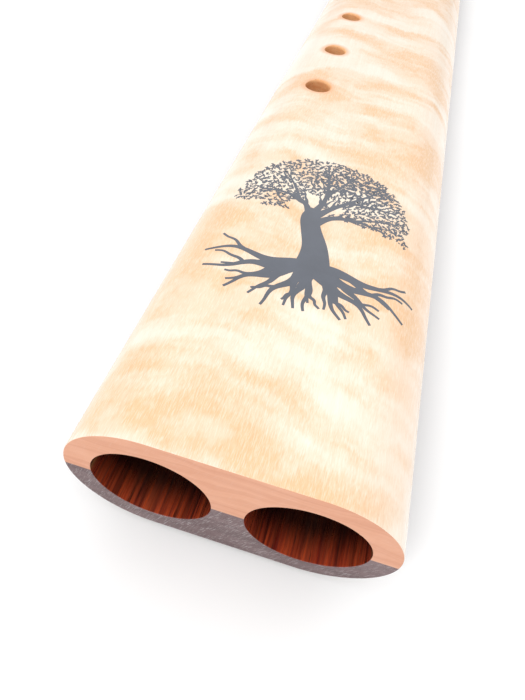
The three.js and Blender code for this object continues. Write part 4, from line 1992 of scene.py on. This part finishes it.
# ---- The studio ------------------------------------------------------------------------------------------
@dataclass
class Studio:
    """A pale floor that glows a little, as a light table does, soft light, and the camera."""

    layout: Layout
    lens: float = 26.64
    look_down: float = 51.19
    heading: float = 7.42
    roll: float = -10.55
    from_foot: tuple[float, float, float] = (5.04 * MM, -32.65 * MM, 86.55 * MM)
    sensor: float = 36.0
    floor_size: float = 12.0
    floor_glow: float = 0.02
    surroundings: float = 0.79

    def camera(self) -> None:
        """Places the camera over the foot, looking along the flute."""
        data = bpy.data.cameras.new("camera")
        data.lens = self.lens
        data.sensor_width = self.sensor
        data.clip_start = 1 * MM
        camera = bpy.data.objects.new("camera", data)
        bpy.context.scene.collection.objects.link(camera)
        foot = Vector((0, self.layout.foot_y, self.layout.seam_z))
        turn = Matrix.Rotation(math.radians(self.heading), 4, "Z")
        tilt = Matrix.Rotation(math.radians(90 - self.look_down), 4, "X")
        lean = Matrix.Rotation(math.radians(-self.roll), 4, "Z")
        camera.matrix_world = Matrix.Translation(foot + Vector(self.from_foot)) @ turn @ tilt @ lean
        bpy.context.scene.camera = camera

    def floor(self) -> None:
        """A wide, white, matte floor."""
        clear_bench()
        bpy.ops.mesh.primitive_plane_add(size=self.floor_size)
        floor = settle()
        floor.name = "floor"
        material, recipe, place = start_material("floor_white")
        mottle = EFFECTS.wear_and_sheen_patches(recipe, place, 160.0)
        white = recipe.blend(mottle, (0.92, 0.92, 0.92), (0.95, 0.95, 0.95))
        glow = {"Emission Color": (1.0, 1.0, 1.0), "Emission Strength": self.floor_glow}
        end_material(material, recipe, {"Base Color": white, "Roughness": 0.9, **glow})
        paint(floor, [material])

    def softbox(self, name: str, place: Sequence[float], size: float, power: float) -> None:
        """A square soft light that faces the foot half of the flute.

        Args:
            name: Its name.
            place: Where it hangs.
            size: The length of its side.
            power: Its power in watts.
        """
        data = bpy.data.lights.new(name, "AREA")
        data.shape = "SQUARE"
        data.size = size
        data.energy = power
        light = bpy.data.objects.new(name, data)
        light.location = place
        aim = Vector((0, self.layout.foot_y / 2, 0)) - Vector(place)
        light.rotation_euler = aim.to_track_quat("-Z", "Y").to_euler()
        bpy.context.scene.collection.objects.link(light)

    def light(self) -> None:
        """White surroundings, a wide light overhead and a key light in front, to the left."""
        world = bpy.data.worlds.new("studio")
        world.use_nodes = True
        background = world.node_tree.nodes["Background"].inputs
        background["Color"].default_value = (1, 1, 1, 1)
        background["Strength"].default_value = self.surroundings
        bpy.context.scene.world = world
        self.softbox("overhead", place=(0.0, 0.2, 1.5), size=3.0, power=14.5)
        self.softbox("key", place=(-0.45, -1.1, 1.1), size=0.5, power=7.0)

    def tone(self) -> None:
        """Plain colour, so that white stays white."""
        bpy.context.scene.view_settings.view_transform = "Standard"


def main() -> None:
    """Builds the studio and every sub-assembly in order."""
    logging.basicConfig(level=logging.INFO, format="%(message)s")
    layout = Layout.from_frame()
    studio = Studio(layout)
    studio.camera()
    shelf = Shelf.stock(layout)
    board = Board(layout, shelf)
    board.lower()
    board.upper()
    TreeInlay(layout, shelf).build()
    Plugs(layout, shelf).build()
    FluePlates(layout, shelf).build()
    SaddleBlocks(layout, shelf).build()
    Mouthpiece(layout, shelf).build()
    Lace(layout, shelf).build()
    studio.floor()
    studio.light()
    studio.tone()


if __name__ == "__main__":
    main()
